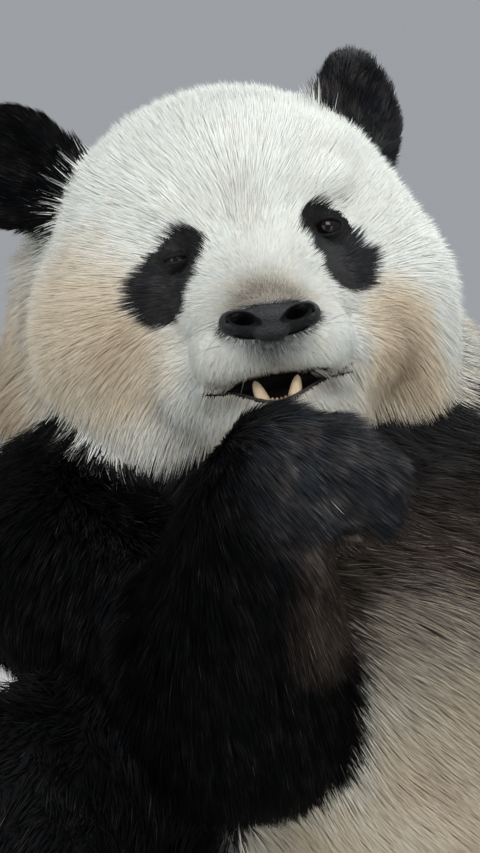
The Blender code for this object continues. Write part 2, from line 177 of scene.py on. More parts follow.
NOSE_TIP = snout(NOSE + (0, -0.007, 0))
HEAD_MIDDLE = np.array((-0.009, 0.09, -0.03))


def unit(vectors):
    return vectors / np.maximum(np.linalg.norm(vectors, axis=-1, keepdims=True), 1e-9)


def along_surface(vectors, normals):
    """The vectors laid flat on the surface, at unit length."""
    return unit(vectors - normals * (vectors * normals).sum(axis=-1, keepdims=True))


def ease(low, high, values):
    """0 below low, 1 above high, and a smooth step between. low may be the greater."""
    share = np.clip((values - low) / (high - low), 0, 1)
    return share * share * (3 - 2 * share)


def lattice(cells):
    """A random number from -1 to 1 for each whole-number cell."""
    mixed = cells[..., 0] * 73856093 ^ cells[..., 1] * 19349663 ^ cells[..., 2] * 83492791
    mixed = (mixed ^ (mixed >> 13)) * 1274126177 & 0x7FFFFFFF
    return (mixed % 20011) / 10005 - 1


def corner_weights(part):
    """Each corner of a cell, and its weight at a place within the cell."""
    for corner in np.ndindex(2, 2, 2):
        yield np.array(corner), np.prod(np.where(corner, part, 1 - part), axis=-1)


def noise(points, size, salt=0):
    """Smooth noise from -1 to 1 whose lumps are about size across."""
    scaled = np.asarray(points) / size + 100 + salt * 17.3
    base = np.floor(scaled).astype(np.int64)
    part = scaled - base
    part = part * part * (3 - 2 * part)
    return sum(weight * lattice(base + corner) for corner, weight in corner_weights(part))


def ellipsoid(points, centre, radii):
    """Roughly the distance from the points to an ellipsoid, negative inside it."""
    scaled = (points - np.asarray(centre)) / np.asarray(radii)
    near = np.linalg.norm(scaled, axis=-1)
    slope = np.linalg.norm(scaled / np.asarray(radii), axis=-1)
    return near * (near - 1) / np.maximum(slope, 1e-9)


def blended(first, second, width):
    """The union of two distance fields, rounded over a width where they meet."""
    overlap = np.clip(0.5 + 0.5 * (second - first) / width, 0, 1)
    return second + (first - second) * overlap - width * overlap * (1 - overlap)


def carved(solid, hole, width):
    return -blended(-solid, hole, width)


def capsule(points, start, end, thick_start, thick_end):
    """Distance to a band from start to end whose half width changes evenly."""
    start = np.asarray(start)
    line = np.asarray(end) - start
    share = np.clip(((points - start) @ line) / (line @ line), 0, 1)
    gap = np.linalg.norm(points - start - share[:, None] * line, axis=1)
    return gap - (thick_start + (thick_end - thick_start) * share)


def placed(name, data):
    """An object of the data, in the scene and at the origin."""
    obj = bpy.data.objects.new(name, data)
    bpy.context.scene.collection.objects.link(obj)
    return obj


def mesh_object(name, points, faces, smooth=True):
    mesh = bpy.data.meshes.new(name)
    mesh.from_pydata(np.asarray(points).tolist(), [], faces)
    if smooth:
        mesh.shade_smooth()
    return placed(name, mesh)


def turn_outward(mesh):
    """Turns the faces of a closed mesh to look outward."""
    bm = bmesh.new()
    bm.from_mesh(mesh)
    bmesh.ops.recalc_face_normals(bm, faces=bm.faces)
    bm.to_mesh(mesh)
    bm.free()


def applied(obj):
    """A mesh of the object as its modifiers make it."""
    bpy.context.view_layer.update()
    graph = bpy.context.evaluated_depsgraph_get()
    return bpy.data.meshes.new_from_object(obj.evaluated_get(graph))


def triangle_mesh(name, points, triangles, normals=None):
    """A mesh of triangles straight from arrays, which is quick for the coat."""
    mesh = bpy.data.meshes.new(name)
    mesh.vertices.add(len(points))
    mesh.vertices.foreach_set("co", np.asarray(points, np.float32).ravel())
    mesh.loops.add(triangles.size)
    mesh.loops.foreach_set("vertex_index", triangles.astype(np.int32).ravel())
    mesh.polygons.add(len(triangles))
    mesh.polygons.foreach_set("loop_start", np.arange(0, triangles.size, 3, dtype=np.int32))
    mesh.update(calc_edges=True)
    mesh.shade_smooth()
    if normals is not None:
        mesh.normals_split_custom_set_from_vertices(np.asarray(normals, np.float32))
    return placed(name, mesh)


def vertex_array(mesh):
    points = np.empty(len(mesh.vertices) * 3, np.float32)
    mesh.vertices.foreach_get("co", points)
    return points.reshape(-1, 3).astype(np.float64)


def triangle_array(mesh):
    mesh.calc_loop_triangles()
    triangles = np.empty(len(mesh.loop_triangles) * 3, np.int32)
    mesh.loop_triangles.foreach_get("vertices", triangles)
    return triangles.reshape(-1, 3)


def set_attribute(mesh, name, kind, values):
    attribute = mesh.attributes.new(name, kind, "POINT")
    field = "color" if kind == "FLOAT_COLOR" else "value"
    attribute.data.foreach_set(field, np.asarray(values, np.float32).ravel())


# Shaders


class Socket:
    """A shader value that can be reckoned with like a number."""

    def __init__(self, shader, output):
        self.shader = shader
        self.output = output

    def reckon(self, operation, *values):
        return self.shader.node("ShaderNodeMath", {"operation": operation}, values)

    def __add__(self, other):
        return self.reckon("ADD", self, other)

    def __radd__(self, other):
        return self.reckon("ADD", other, self)

    def __sub__(self, other):
        return self.reckon("SUBTRACT", self, other)

    def __rsub__(self, other):
        return self.reckon("SUBTRACT", other, self)

    def __mul__(self, other):
        return self.reckon("MULTIPLY", self, other)

    def __rmul__(self, other):
        return self.reckon("MULTIPLY", other, self)

    def __truediv__(self, other):
        return self.reckon("DIVIDE", self, other)

    def clipped(self):
        return self.reckon("MINIMUM", self.reckon("MAXIMUM", self, 0.0), 1.0)


class Finish:
    """A material with one Principled shader, and the calls that build its nodes."""

    def __init__(self, name, **constants):
        self.material = bpy.data.materials.new(name)
        self.material.use_nodes = True
        self.tree = self.material.node_tree
        self.surface = self.tree.nodes["Principled BSDF"]
        for socket, value in constants.items():
            self.surface.inputs[socket.replace("_", " ")].default_value = value

    def plug(self, target, value):
        if isinstance(value, Socket):
            self.tree.links.new(value.output, target)
        else:
            target.default_value = value

    def node(self, kind, settings=None, values=(), output=0):
        made = self.tree.nodes.new(kind)
        stops = None
        for name, value in (settings or {}).items():
            if name == "stops":
                stops = value
            else:
                setattr(made, name, value)
        if stops:
            elements = made.color_ramp.elements
            while len(elements) < len(stops):
                elements.new(0.5)
            for element, (place, colour) in zip(elements, stops):
                element.position = place
                element.color = (*colour, 1)
        named = values.items() if isinstance(values, dict) else enumerate(values)
        for name, value in named:
            self.plug(made.inputs[name], value)
        return Socket(self, made.outputs[output])

    def place(self):
        return self.node("ShaderNodeTexCoord", output="Object")

    def noise(self, scale, detail=2.0, vector=None):
        values = {"Scale": scale, "Detail": detail, "Vector": vector or self.place()}
        return self.node("ShaderNodeTexNoise", {}, values, output=0)

    def cells(self, scale):
        return self.node("ShaderNodeTexVoronoi", {}, {"Scale": scale, "Vector": self.place()})

    def stretched(self, scales):
        values = {"Vector": self.place(), "Scale": scales}
        return self.node("ShaderNodeMapping", {}, values)

    def attribute(self, name, output="Fac"):
        return self.node("ShaderNodeAttribute", {"attribute_name": name}, output=output)

    def ramp(self, value, stops):
        return self.node("ShaderNodeValToRGB", {"stops": stops}, {"Fac": value})

    def mix(self, share, first, second):
        """A colour from first, at 0, to second, at 1."""
        made = self.tree.nodes.new("ShaderNodeMix")
        made.data_type = "RGBA"
        for index, value in ((0, share), (6, first), (7, second)):
            if index and not isinstance(value, Socket):
                value = (*value, 1)
            self.plug(made.inputs[index], value)
        return Socket(self, made.outputs[2])

    def channels(self, colour):
        split = self.tree.nodes.new("ShaderNodeSeparateColor")
        self.plug(split.inputs[0], colour)
        return [Socket(self, output) for output in split.outputs]

    def set(self, name, value):
        self.plug(self.surface.inputs[name], value)

    def bump(self, height, distance, strength=1.0):
        values = {"Height": height, "Distance": distance, "Strength": strength}
        self.set("Normal", self.node("ShaderNodeBump", {}, values))


WHITE_HAIR = (0.80, 0.83, 0.78)
CREAM_HAIR = (0.70, 0.60, 0.45)
TAN_HAIR = (0.38, 0.28, 0.18)
# The slate and dusk hair colour the dusky short hair; round the nose it is partly painted shade.
SLATE_HAIR = (0.095, 0.106, 0.106)
DUSK_HAIR = (0.150, 0.136, 0.116)
BLACK_HAIR = (0.0016, 0.0019, 0.0023)
BROWN_HAIR = (0.046, 0.036, 0.030)


def hair_colour(finish):
    """The coat's colour from its markings: black, warmth, dusk and shade. The shade holds
    the hair's own random tone together with painted light and shade.
    """
    markings = finish.attribute("markings", "Color")
    black, warmth, dusk = finish.channels(markings)
    shade = finish.attribute("shade")
    grain = finish.noise(55.0, 3.0) - 0.5
    warm = finish.ramp(
        (warmth + grain * 0.25).clipped(),
        [(0.0, WHITE_HAIR), (0.45, CREAM_HAIR), (1.0, TAN_HAIR)],
    )
    dusky = finish.mix((warmth * 2.5).clipped(), SLATE_HAIR, DUSK_HAIR)
    pale = finish.mix(dusk.clipped(), warm, dusky)
    dark = finish.mix((warmth + grain * 0.3).clipped(), BLACK_HAIR, BROWN_HAIR)
    both = finish.mix(black.clipped(), pale, dark)
    values = {0: both, 1: finish.node("ShaderNodeCombineXYZ", {}, (shade, shade, shade))}
    return finish.node("ShaderNodeVectorMath", {"operation": "MULTIPLY"}, values), black


def coat_finish(name, gloss, sheen, roughness):
    """A coat's finish. The black hair is glossier than the pale."""
    finish = Finish(name, Specular_IOR_Level=gloss, Sheen_Weight=sheen, Sheen_Roughness=0.5)
    colour, black = hair_colour(finish)
    finish.set("Base Color", colour)
    finish.set("Roughness", 0.85 - black.clipped() * (0.85 - roughness))
    return finish.material


def skin_finish():
    finish = Finish("short_hair_and_skin", Specular_IOR_Level=0.1)
    colour, black = hair_colour(finish)
    finish.set("Base Color", colour)
    finish.set("Roughness", 0.85 - black.clipped() * 0.25)
    strands = finish.noise(900.0, 2.0) + finish.noise(300.0, 2.0)
    finish.bump(strands, 0.0012, 0.6)
    return finish.material


def leather_finish(name, colour, roughness, grain, gloss=0.5):
    finish = Finish(name, Specular_IOR_Level=gloss)
    pebbles = finish.cells(grain)
    wear = finish.noise(90.0, 3.0)
    finish.set("Base Color", finish.mix(wear * 0.6 + pebbles * 0.3, colour, [c * 2.6 for c in colour]))
    finish.set("Roughness", roughness + wear * 0.18)
    finish.bump(pebbles + wear * 0.6, 0.0006, 0.8)
    return finish.material


def nose_finish():
    """Dark pebbled leather, paler in random mottles, and black inside the nostrils, which
    is painted shade.
    """
    finish = Finish("nose_leather", Specular_IOR_Level=0.3)
    pebbles = finish.cells(520.0)
    wear = finish.noise(90.0, 3.0)
    # deep: how far in a nostril a point lies, painted black as painted shade.
    deep = finish.attribute("deep")
    wear = wear + (finish.noise(35.0, 4.0) - 0.5) * 0.9
    leather = finish.mix(
        (wear * 0.8 + pebbles * 0.35).clipped(), (0.0022, 0.0024, 0.0028), (0.026, 0.029, 0.032)
    )
    finish.set("Base Color", finish.mix(deep.clipped(), leather, (0.0005, 0.0005, 0.0005)))
    finish.set("Roughness", 0.50 + wear * 0.15 + deep * 0.3)
    finish.bump(pebbles + wear * 0.6, 0.0007, 0.9)
    return finish.material


def horn_finish():
    finish = Finish("claw_horn", Specular_IOR_Level=0.5)
    streaks = finish.noise(260.0, 3.0, finish.stretched((1, 1, 0.25)))
    root = (0.035, 0.030, 0.026)
    finish.set("Base Color", finish.mix(streaks, root, (0.16, 0.13, 0.10)))
    finish.set("Roughness", 0.30 + streaks * 0.25)
    finish.bump(streaks, 0.0004, 0.5)
    return finish.material


def tooth_finish():
    finish = Finish("tooth", Specular_IOR_Level=0.6)
    stain = finish.noise(180.0, 3.0)
    finish.set("Base Color", finish.mix(stain, (0.72, 0.60, 0.42), (0.46, 0.30, 0.16)))
    finish.set("Roughness", 0.22 + stain * 0.15)
    finish.bump(stain, 0.0003, 0.4)
    return finish.material


def eye_finish():
    """Pupil, iris and white by the angle from the middle of the eye."""
    finish = Finish("eye_gloss", Specular_IOR_Level=0.25, Coat_Weight=0.08)
    finish.surface.inputs["Coat Roughness"].default_value = 0.03
    ring = finish.attribute("ring")
    fibres = finish.noise(900.0, 2.0)
    stops = [
        (0.0, (0.002, 0.002, 0.002)),
        (0.20, (0.003, 0.002, 0.002)),
        (0.26, (0.008, 0.005, 0.003)),
        (0.46, (0.006, 0.004, 0.003)),
        (0.54, (0.004, 0.003, 0.003)),
        (0.70, (0.035, 0.028, 0.024)),
        (1.0, (0.060, 0.048, 0.040)),
    ]
    finish.set("Base Color", finish.ramp(ring + (fibres - 0.5) * 0.04, stops))
    finish.set("Roughness", 0.06 + fibres * 0.04)
    return finish.material


# Skin


class Field:
    """Values on a grid, read between its cells."""

    def __init__(self, values, origin, voxel):
        self.values = values
        self.origin = np.asarray(origin, np.float64)
        self.voxel = voxel

    def at(self, points):
        place = (points - self.origin) / self.voxel
        place = np.clip(place, 0, np.array(self.values.shape) - 1.001)
        base = place.astype(np.int64)
        total = 0
        for corner, weight in corner_weights(place - base):
            x, y, z = (base + corner).T
            total = total + weight * self.values[x, y, z]
        return total

    def slope(self, points):
        """The unit direction in which the values rise."""
        found = []
        for axis in np.eye(3) * self.voxel:
            found.append(self.at(points + axis) - self.at(points - axis))
        return unit(np.stack(found, axis=-1))


VOXEL = 0.003
BAND = 13  # cells on each side of the surface in which distances are kept
SEAM = 0.0015  # closes the thin gaps between the solids
SKIN_ROUNDS = 4


def flesh_cloud(names):
    """All the triangles of the nodes, and the number of the node of each."""
    points, triangles, owners = [], [], []
    count = 0
    for number, name in enumerate(names):
        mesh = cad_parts[name].data
        points.append(vertex_array(mesh))
        found = triangle_array(mesh)
        triangles.append(found + count)
        owners.append(np.full(len(found), number))
        count += len(points[-1])
    return np.concatenate(points), np.concatenate(triangles), np.concatenate(owners)


def cells_near(values, origin, middle, reach):
    """The block of the grid's cells within reach of a place, and where they lie."""
    low = np.maximum(np.floor((middle - reach - origin) / VOXEL).astype(int), 0)
    high = np.minimum(np.ceil((middle + reach - origin) / VOXEL).astype(int), values.shape)
    cells = np.stack(np.meshgrid(*map(np.arange, low, high), indexing="ij"), axis=-1)
    return values[tuple(map(slice, low, high))], cells * VOXEL + origin


def plugged(values, origin):
    """The distances with the room before each eye filled in."""
    for place in EYE_PLACES.values():
        middle = from_head(place + (0, -0.014, 0))
        block, points = cells_near(values, origin, middle, reach=0.034)
        local = to_head(points).reshape(-1, 3)
        plug = capsule(local, place, place + (0, -0.012, 0), 0.0165, 0.0120)
        np.minimum(block, plug.reshape(block.shape), out=block)


# Where long hair fills the furrow between a cheek and the ruff: a middle and radii.
FURROW = (np.array((-0.275, 0.060, 0.585)), (0.052, 0.072, 0.085))


def furrow_filled(values, origin):
    """The distances with the furrow behind the right cheek filled in."""
    middle, radii = FURROW
    block, points = cells_near(values, origin, middle, max(radii) + 0.04)
    away = ellipsoid(points, middle, radii)
    block[:] = np.where(away < 0.03, blended(block, away, 0.024), block)


def distance_field(points, triangles):
    """Distances from the flesh, negative inside, rounded off a little."""
    transform = openvdb.createLinearTransform(voxelSize=VOXEL)
    grid = openvdb.FloatGrid.createLevelSetFromPolygons(
        points, triangles=triangles.astype(np.uint32), transform=transform, halfWidth=BAND
    )
    low, high = grid.evalActiveVoxelBoundingBox()
    low = np.array(low) - 3
    high = np.array(high) + 4
    values = np.empty(tuple(high - low), np.float32)
    grid.copyToArray(values, ijk=tuple(int(n) for n in low))
    values -= SEAM
    plugged(values, low * VOXEL)
    furrow_filled(values, low * VOXEL)
    for _ in range(SKIN_ROUNDS):
        for axis in range(3):
            middle = np.moveaxis(values, axis, 0)
            middle[1:-1] = (middle[:-2] + middle[2:]) * 0.25 + middle[1:-1] * 0.5
    return Field(values, low * VOXEL, VOXEL)


def surface_of(field, step=1):
    """The field's zero surface as points and faces of four."""
    values = np.ascontiguousarray(field.values[::step, ::step, ::step])
    grid = openvdb.FloatGrid()
    grid.background = float(values.max())
    grid.transform = openvdb.createLinearTransform(voxelSize=field.voxel * step)
    grid.copyFromArray(values, tolerance=0.0)
    points, quads = grid.convertToQuads(isovalue=0.0)
    return points.astype(np.float64) + field.origin, quads.astype(np.int64)


def in_face(points):
    """True where the skin is divided more finely: the front of the head."""
    local = to_head(points)
    front = (local[:, 1] < 0.030) & (local[:, 1] > -0.16)
    return front & (np.abs(local[:, 0]) < 0.125) & (local[:, 2] < 0.07) & (local[:, 2] > -0.19)


def divided(points, quads, rounds):
    """A mesh of triangles whose faces on the face are divided, each round in four."""
    start = mesh_object("skin", points, quads.tolist())
    bm = bmesh.new()
    bm.from_mesh(start.data)
    for _ in range(rounds):
        bm.verts.ensure_lookup_table()
        inside = in_face(np.array([v.co for v in bm.verts]))
        edges = [e for e in bm.edges if inside[e.verts[0].index] and inside[e.verts[1].index]]
        bmesh.ops.subdivide_edges(bm, edges=edges, cuts=1, use_grid_fill=True)
        bm.verts.index_update()
    bmesh.ops.triangulate(bm, faces=bm.faces)
    bmesh.ops.recalc_face_normals(bm, faces=bm.faces)
    bm.to_mesh(start.data)
    bm.free()
    return start


class Graph:
    """The edges of a mesh, for smoothing values over its surface."""

    def __init__(self, mesh):
        edges = np.empty(len(mesh.edges) * 2, np.int32)
        mesh.edges.foreach_get("vertices", edges)
        edges = edges.reshape(-1, 2)
        self.ends = np.concatenate([edges[:, 0], edges[:, 1]])
        self.others = np.concatenate([edges[:, 1], edges[:, 0]])
        self.count = len(mesh.vertices)
        self.degree = np.maximum(np.bincount(self.ends, minlength=self.count), 1)

    def smoothed(self, values, rounds, share=0.5):
        values = np.array(values, np.float64)
        flat = values.reshape(self.count, -1)
        for _ in range(rounds):
            for column in range(flat.shape[1]):
                near = flat[self.others, column]
                mean = np.bincount(self.ends, near, self.count) / self.degree
                flat[:, column] += (mean - flat[:, column]) * share
        return flat.reshape(values.shape)


# Coat: what grows where


def spread(places, values, where):
    """Values between given places, on a straight line from each to the next."""
    return np.interp(where, places, values)


# The dark patches round the eyes, as bands in the plane of the face.
PATCHES = (
    ((-0.0600, 0.0040), (-0.0920, -0.0325), 0.0175, 0.0280),
    ((0.0600, 0.0020), (0.0770, -0.0400), 0.0180, 0.0270),
)


def eye_patch(local):
    """1 in the dark patch round each eye and 0 outside it, with a ragged edge."""
    ragged = noise(local, 0.011, 1) * 0.0030 + noise(local, 0.004, 2) * 0.0015
    shares = []
    for start, end, thick_start, thick_end in PATCHES:
        away = capsule(local[:, [0, 2]], start, end, thick_start, thick_end)
        shares.append(ease(0.0055, -0.0045, away + ragged))
    return np.maximum.reduce(shares) * ease(0.075, 0.055, local[:, 1])


def mouth_shape(share):
    """The height of the mouth's middle and half its gap, at a share of its width."""
    bow = np.maximum(1 - share**2, 0)
    return MOUTH_Z + 0.004 * share - MOUTH_SAG * bow, MOUTH_GAPE * bow**4


def mouth_gap(local):
    """How far each point lies above or below the mouth's gap, seen from in front."""
    local = straight(local)
    share = np.clip(np.abs(local[:, 0]) / MOUTH_HALF, 0, 1.2)
    middle, half = mouth_shape(share)
    gap = np.abs(local[:, 2] - middle) - half - 0.0005
    return np.where(share < 1.03, gap, 1.0)


def eye_share(local, side):
    """0 in the middle of an eye's opening, 1 on the rim of its lids, more beyond."""
    half, above, below = EYE_OPENINGS[side]
    across, _, up = (local - EYE_PLACES[side]).T
    tall = np.where(up > 0, above, below)
    return np.sqrt((across / half) ** 2 + (up / tall) ** 2)


def lid_depth(reach, radius):
    """The y of the lids over the eyeball, which run on straight beyond it."""
    turn = 0.8
    near = np.minimum(reach, turn * radius)
    bow = -np.sqrt(radius**2 - near**2)
    return bow + (reach - near) * turn / math.sqrt(1 - turn**2) * 0.35


def face_folds(local):
    """The skin's points drawn over the eyeballs and into the mouth."""
    local = local.copy()
    front = local[:, 1] < 0.02
    for side, place in EYE_PLACES.items():
        reach = np.hypot(local[:, 0] - place[0], local[:, 2] - place[2])
        held = front & (reach < 0.028)
        over = place[1] + lid_depth(reach, EYEBALL + 0.0006)
        opened = ease(1.25, 0.95, eye_share(local, side)) * 0.0050
        share = ease(0.010, 0.028, reach)
        drawn = (over + opened) * (1 - share) + local[:, 1] * share
        local[held, 1] = drawn[held]
    share = np.clip(np.abs(straight(local)[:, 0]) / MOUTH_HALF, 0, 1)
    inside = ease(0.0010, -0.0015, mouth_gap(local)) * (local[:, 1] < -0.03)
    behind_nose = ease(0.0, -0.003, nose_pad(local)) * 0.020
    local[:, 1] += inside * 0.020 * (1 - share**2) + behind_nose
    return local


def nose_pad(local):
    """Roughly how far each point lies outside the nose's seat, seen from in front."""
    held = straight(local) - NOSE
    away = np.hypot(held[:, 0] / 0.0375, (held[:, 2] + 0.0035) / 0.0135) - 1
    return np.where(held[:, 1] < 0.03, away * 0.0135, 1.0)


class Skin:
    """The skin's mesh and what the coat is like at each of its points."""

    def __init__(self):
        names = FLESH + ["nose", "eye_right", "eye_left"]
        cloud, triangles, owners = flesh_cloud(names)
        self.names = names
        self.field = distance_field(cloud, triangles)
        self.tree = BVHTree.FromPolygons(cloud.tolist(), triangles.tolist())
        points, quads = surface_of(self.field, step=2)
        self.obj = divided(points, quads, rounds=2)
        self.mesh = self.obj.data
        self.graph = Graph(self.mesh)
        outer = vertex_array(self.mesh)
        for _ in range(3):
            outer -= self.field.slope(outer) * self.field.at(outer)[:, None]
        owner = np.empty(len(outer), np.int64)
        for index, point in enumerate(outer):
            owner[index] = owners[self.tree.find_nearest(point)[2]]
        self.owner = owner
        self.outer = outer
        self.part = np.array([re_part(name) for name in names])[owner]
        self.region_values(outer)
        self.sink(outer)

    def region_values(self, outer):
        """Depth, length, width and density of the coat, smooth over the body."""
        table = np.array([COAT[part] for part in self.part])
        local = to_head(outer)
        on_head = self.part == "head"
        away = np.linalg.norm(local - NOSE_TIP, axis=1)
        snout_local = straight(local)
        length = spread(
            (0.02, 0.03, 0.06, 0.09, 0.13, 0.19, 0.26, 0.34),
            (0.005, 0.006, 0.009, 0.014, 0.022, 0.032, 0.040, 0.044),
            away,
        )
        patch = eye_patch(local)
        length = length * (1 - 0.35 * patch)
        beard = ease(-0.135, -0.165, local[:, 2]) * ease(-0.06, 0.02, local[:, 1])
        length = length * (1 + 0.45 * beard)
        lip = ease(0.016, 0.004, np.abs(snout_local[:, 2] - MOUTH_Z - 0.014))
        lip *= ease(0.07, 0.05, np.abs(snout_local[:, 0])) * (local[:, 1] < -0.03)
        length = length + lip * 0.0075
        depth = np.clip(length * 0.30, 0.0015, 0.013)
        width = spread((0.03, 0.09, 0.16, 0.30), (0.0007, 0.0008, 0.0011, 0.0014), away)
        density = spread((0.03, 0.09, 0.16, 0.30), (7.0, 3.6, 1.7, 0.9), away)
        head_values = np.stack([depth, length, width, density], axis=1)
        table[on_head] = head_values[on_head]
        self.values = self.graph.smoothed(table, 30)
        eyes = [np.linalg.norm(local - place, axis=1) for place in EYE_PLACES.values()]
        near_eye = ease(0.032, 0.017, np.minimum(*eyes))[:, None]
        self.values[:, :3] += ((0.0020, 0.0050, 0.0007) - self.values[:, :3]) * near_eye
        self.values[:, 3] *= 1 + 1.5 * near_eye[:, 0]
        near_lips = ease(0.012, 0.002, mouth_gap(local)) * (local[:, 1] < -0.03)
        self.values[:, 0] += (0.0012 - self.values[:, 0]) * near_lips
        black = np.isin(self.part, BLACK_PARTS).astype(float)
        waist = np.isin(self.part, ["chest", "abdomen"]) & (outer[:, 2] < 0.50)
        faded = ease(0.020, -0.085, below_waist(outer) + noise(outer, 0.012, 6) * 0.012)
        black = np.where(waist, faded, black)
        self.black = self.graph.smoothed(black, 4)

    def sink(self, outer):
        """Moves the skin in by the coat's depth and sets its normals."""
        depth = self.values[:, 0] + SEAM
        inner = outer.copy()
        for _ in range(4):
            inner -= self.field.slope(inner) * depth[:, None] / 4
        inner = self.graph.smoothed(inner, 10)
        inner = from_head(face_folds(to_head(inner)))
        self.mesh.vertices.foreach_set("co", inner.astype(np.float32).ravel())
        self.mesh.update()
        self.points = inner
        self.hairy = hairiness(inner)
        self.normals = self.field.slope(outer)
        self.triangles = triangle_array(self.mesh)


def hairiness(points):
    """0 where the skin is bare: the eyes' rims, the lips and behind the nose."""
    local = to_head(points)
    hairy = ease(0.0005, 0.0025, mouth_gap(local)) + (local[:, 1] > -0.03)
    for side in SIDES:
        near = np.abs(local[:, 1] - EYE_PLACES[side][1]) < 0.02
        across, _, up = (local - EYE_PLACES[side]).T
        half, above, below = EYE_OPENINGS[side]
        lids = np.hypot(across / half, up / np.maximum(np.where(up > 0, above, below), 0.0036))
        hairy = hairy * np.where(near, ease(1.15, 1.5, lids), 1)
    return np.clip(hairy, 0, 1) * ease(-0.003, 0.0, nose_pad(local))


BLACK_PARTS = ["chest", "ear", "upper_arm", "forearm", "forepaw", "thigh", "shank", "hindpaw"]


def re_part(name):
    """The kind of part that a node is: its name without its side."""
    for part in COAT:
        if name.startswith(part):
            return part
    return "head"


def below_waist(points):
    """How far each point lies below the black band's lower edge, on the trunk."""
    point, normal = WAIST_CUT
    return -(points - point) @ (normal / np.linalg.norm(normal))


# The cheeks' cream and tan: a place across and up the head, half sizes and strength.
# The tan low on the jowls and under the jaw is partly painted shade.
CHEEKS = (
    ((-0.160, -0.050), (0.075, 0.095), 0.50),
    ((-0.125, -0.092), (0.042, 0.058), 0.26),
    ((0.108, -0.108), (0.036, 0.058), 0.66),
    ((0.100, -0.165), (0.055, 0.045), 0.50),
    ((-0.040, -0.190), (0.110, 0.045), 0.28),
)


def throat_at(points, local, from_middle):
    """The throat is black under the chin, though the neck's sides are cream."""
    throat = ease(-0.165, -0.185, local[:, 2]) * ease(0.16, 0.13, local[:, 1])
    throat = throat * ease(0.19, 0.16, np.abs(local[:, 0])) * (from_middle > 0.165)
    return throat * ease(0.40, 0.44, points[:, 2])


def flank_at(points):
    """The flank is black where the arm and the thigh meet over it."""
    flank = ease(-0.250, -0.270, points[:, 0]) * ease(0.20, 0.14, points[:, 1])
    return flank * ease(0.42, 0.39, points[:, 2])


def warmth_at(points, local, behind, blotch, fine):
    """The head is white, with cream and tan cheeks, and the ruff is tan below."""
    warmth = ease(0.10, 0.28, local[:, 1]) * 0.20
    for place, sizes, strength in CHEEKS:
        near = np.linalg.norm((local[:, [0, 2]] - place) / sizes, axis=1)
        warmth += strength * ease(1.35, 0.25, near)
    ruff = 0.60 + 0.42 * ease(0.62, 0.54, points[:, 2]) + 0.20 * blotch
    tan = ruff + (0.50 + 0.14 * blotch - ruff) * ease(0.46, 0.40, points[:, 2])
    warmth = warmth * (1 - behind) + tan * behind
    return warmth + blotch * 0.07 + fine * 0.06


def face_dusk(local):
    """How brown and how grey the short hair is where dark skin shows through it: brown
    on the bridge, the brow, the chin and round the lips, grey below the nose. Round the
    nose it is partly painted shade."""
    held = straight(local)
    above_nose = np.hypot(held[:, 0] / 0.041, (held[:, 2] - NOSE[2] - 0.004) / 0.043)
    bridge = ease(1.20, 0.35, above_nose) * 0.90 + ease(2.0, 0.8, above_nose) * 0.26
    bridge *= ease(-0.096, -0.085, held[:, 2]) * (local[:, 1] < 0)
    brow = ellipsoid(local, (0.0, -0.01, 0.025), (0.020, 0.06, 0.036))
    brown = bridge + ease(0.010, -0.014, brow) * 0.20
    below_lip = held[:, 2] < MOUTH_Z - 0.003
    lips = ease(np.where(below_lip, 0.024, 0.008), 0.0, mouth_gap(local))
    lips = lips * np.where(below_lip, 0.75, 0.45) * (local[:, 1] < -0.02)
    chin = ellipsoid(held, (0, -0.07, -0.170), (0.045, 0.05, 0.018))
    brown = np.maximum(np.maximum(brown, lips), ease(0.010, -0.006, chin) * 0.35)
    under_nose = np.hypot(held[:, 0] / 0.042, (held[:, 2] - NOSE[2] + 0.010) / 0.034)
    grey = ease(1.15, 0.45, under_nose) * ease(-0.084, -0.096, held[:, 2]) * 0.85
    return brown, grey * (local[:, 1] < -0.02)


# The belly's dusk at distances below the waist.
BELLY_FADE = ((-0.01, 0.03, 0.067, 0.11, 0.165, 0.25), (1, 0.88, 0.54, 0.30, 0.03, 0))


def markings_at(points, black):
    """How black, warm and dusky the coat is at each point."""
    local = to_head(points)
    from_middle = np.linalg.norm(local - HEAD_MIDDLE, axis=1)
    blotch = noise(points, 0.05, 3)
    fine = noise(points, 0.018, 4)
    throat = throat_at(points, local, from_middle)
    round_nose = ease(0.0065, 0.0, nose_pad(local)) * (local[:, 1] < 0) * 0.75
    black = np.maximum.reduce([black, eye_patch(local), throat, round_nose, flank_at(points)])
    behind = ease(0.20, 0.26, from_middle)
    warmth = warmth_at(points, local, behind, blotch, fine)
    brown_dusk, grey_dusk = face_dusk(local)
    warmth = np.maximum(warmth * (1 - grey_dusk), np.clip(brown_dusk, 0, 1) * 0.42)
    dusk = np.maximum(brown_dusk, grey_dusk)
    # The belly goes from brown black at the waist through grey brown to tan.
    front = ease(0.12, 0.0, points[:, 1])
    below = below_waist(points) + fine * 0.010 + blotch * 0.012
    near_trunk = behind * (below > -0.08)
    dusk = dusk * (1 - near_trunk) + spread(*BELLY_FADE, below) * front * near_trunk
    # The black over the belly and inside the raised arm is brownish.
    brown = ease(-0.105, -0.015, below) * front * ease(0.335, 0.375, points[:, 2])
    brown = brown * ease(-0.110, -0.075, points[:, 0]) * ease(0.170, 0.120, points[:, 0])
    warmth = np.clip(warmth * (1 - black) + brown * black, 0, 1)
    dusk = dusk + fine * 0.10 * (dusk > 0.05)
    return np.stack([black, warmth, np.clip(dusk, 0, 1), np.ones(len(points))], axis=1)


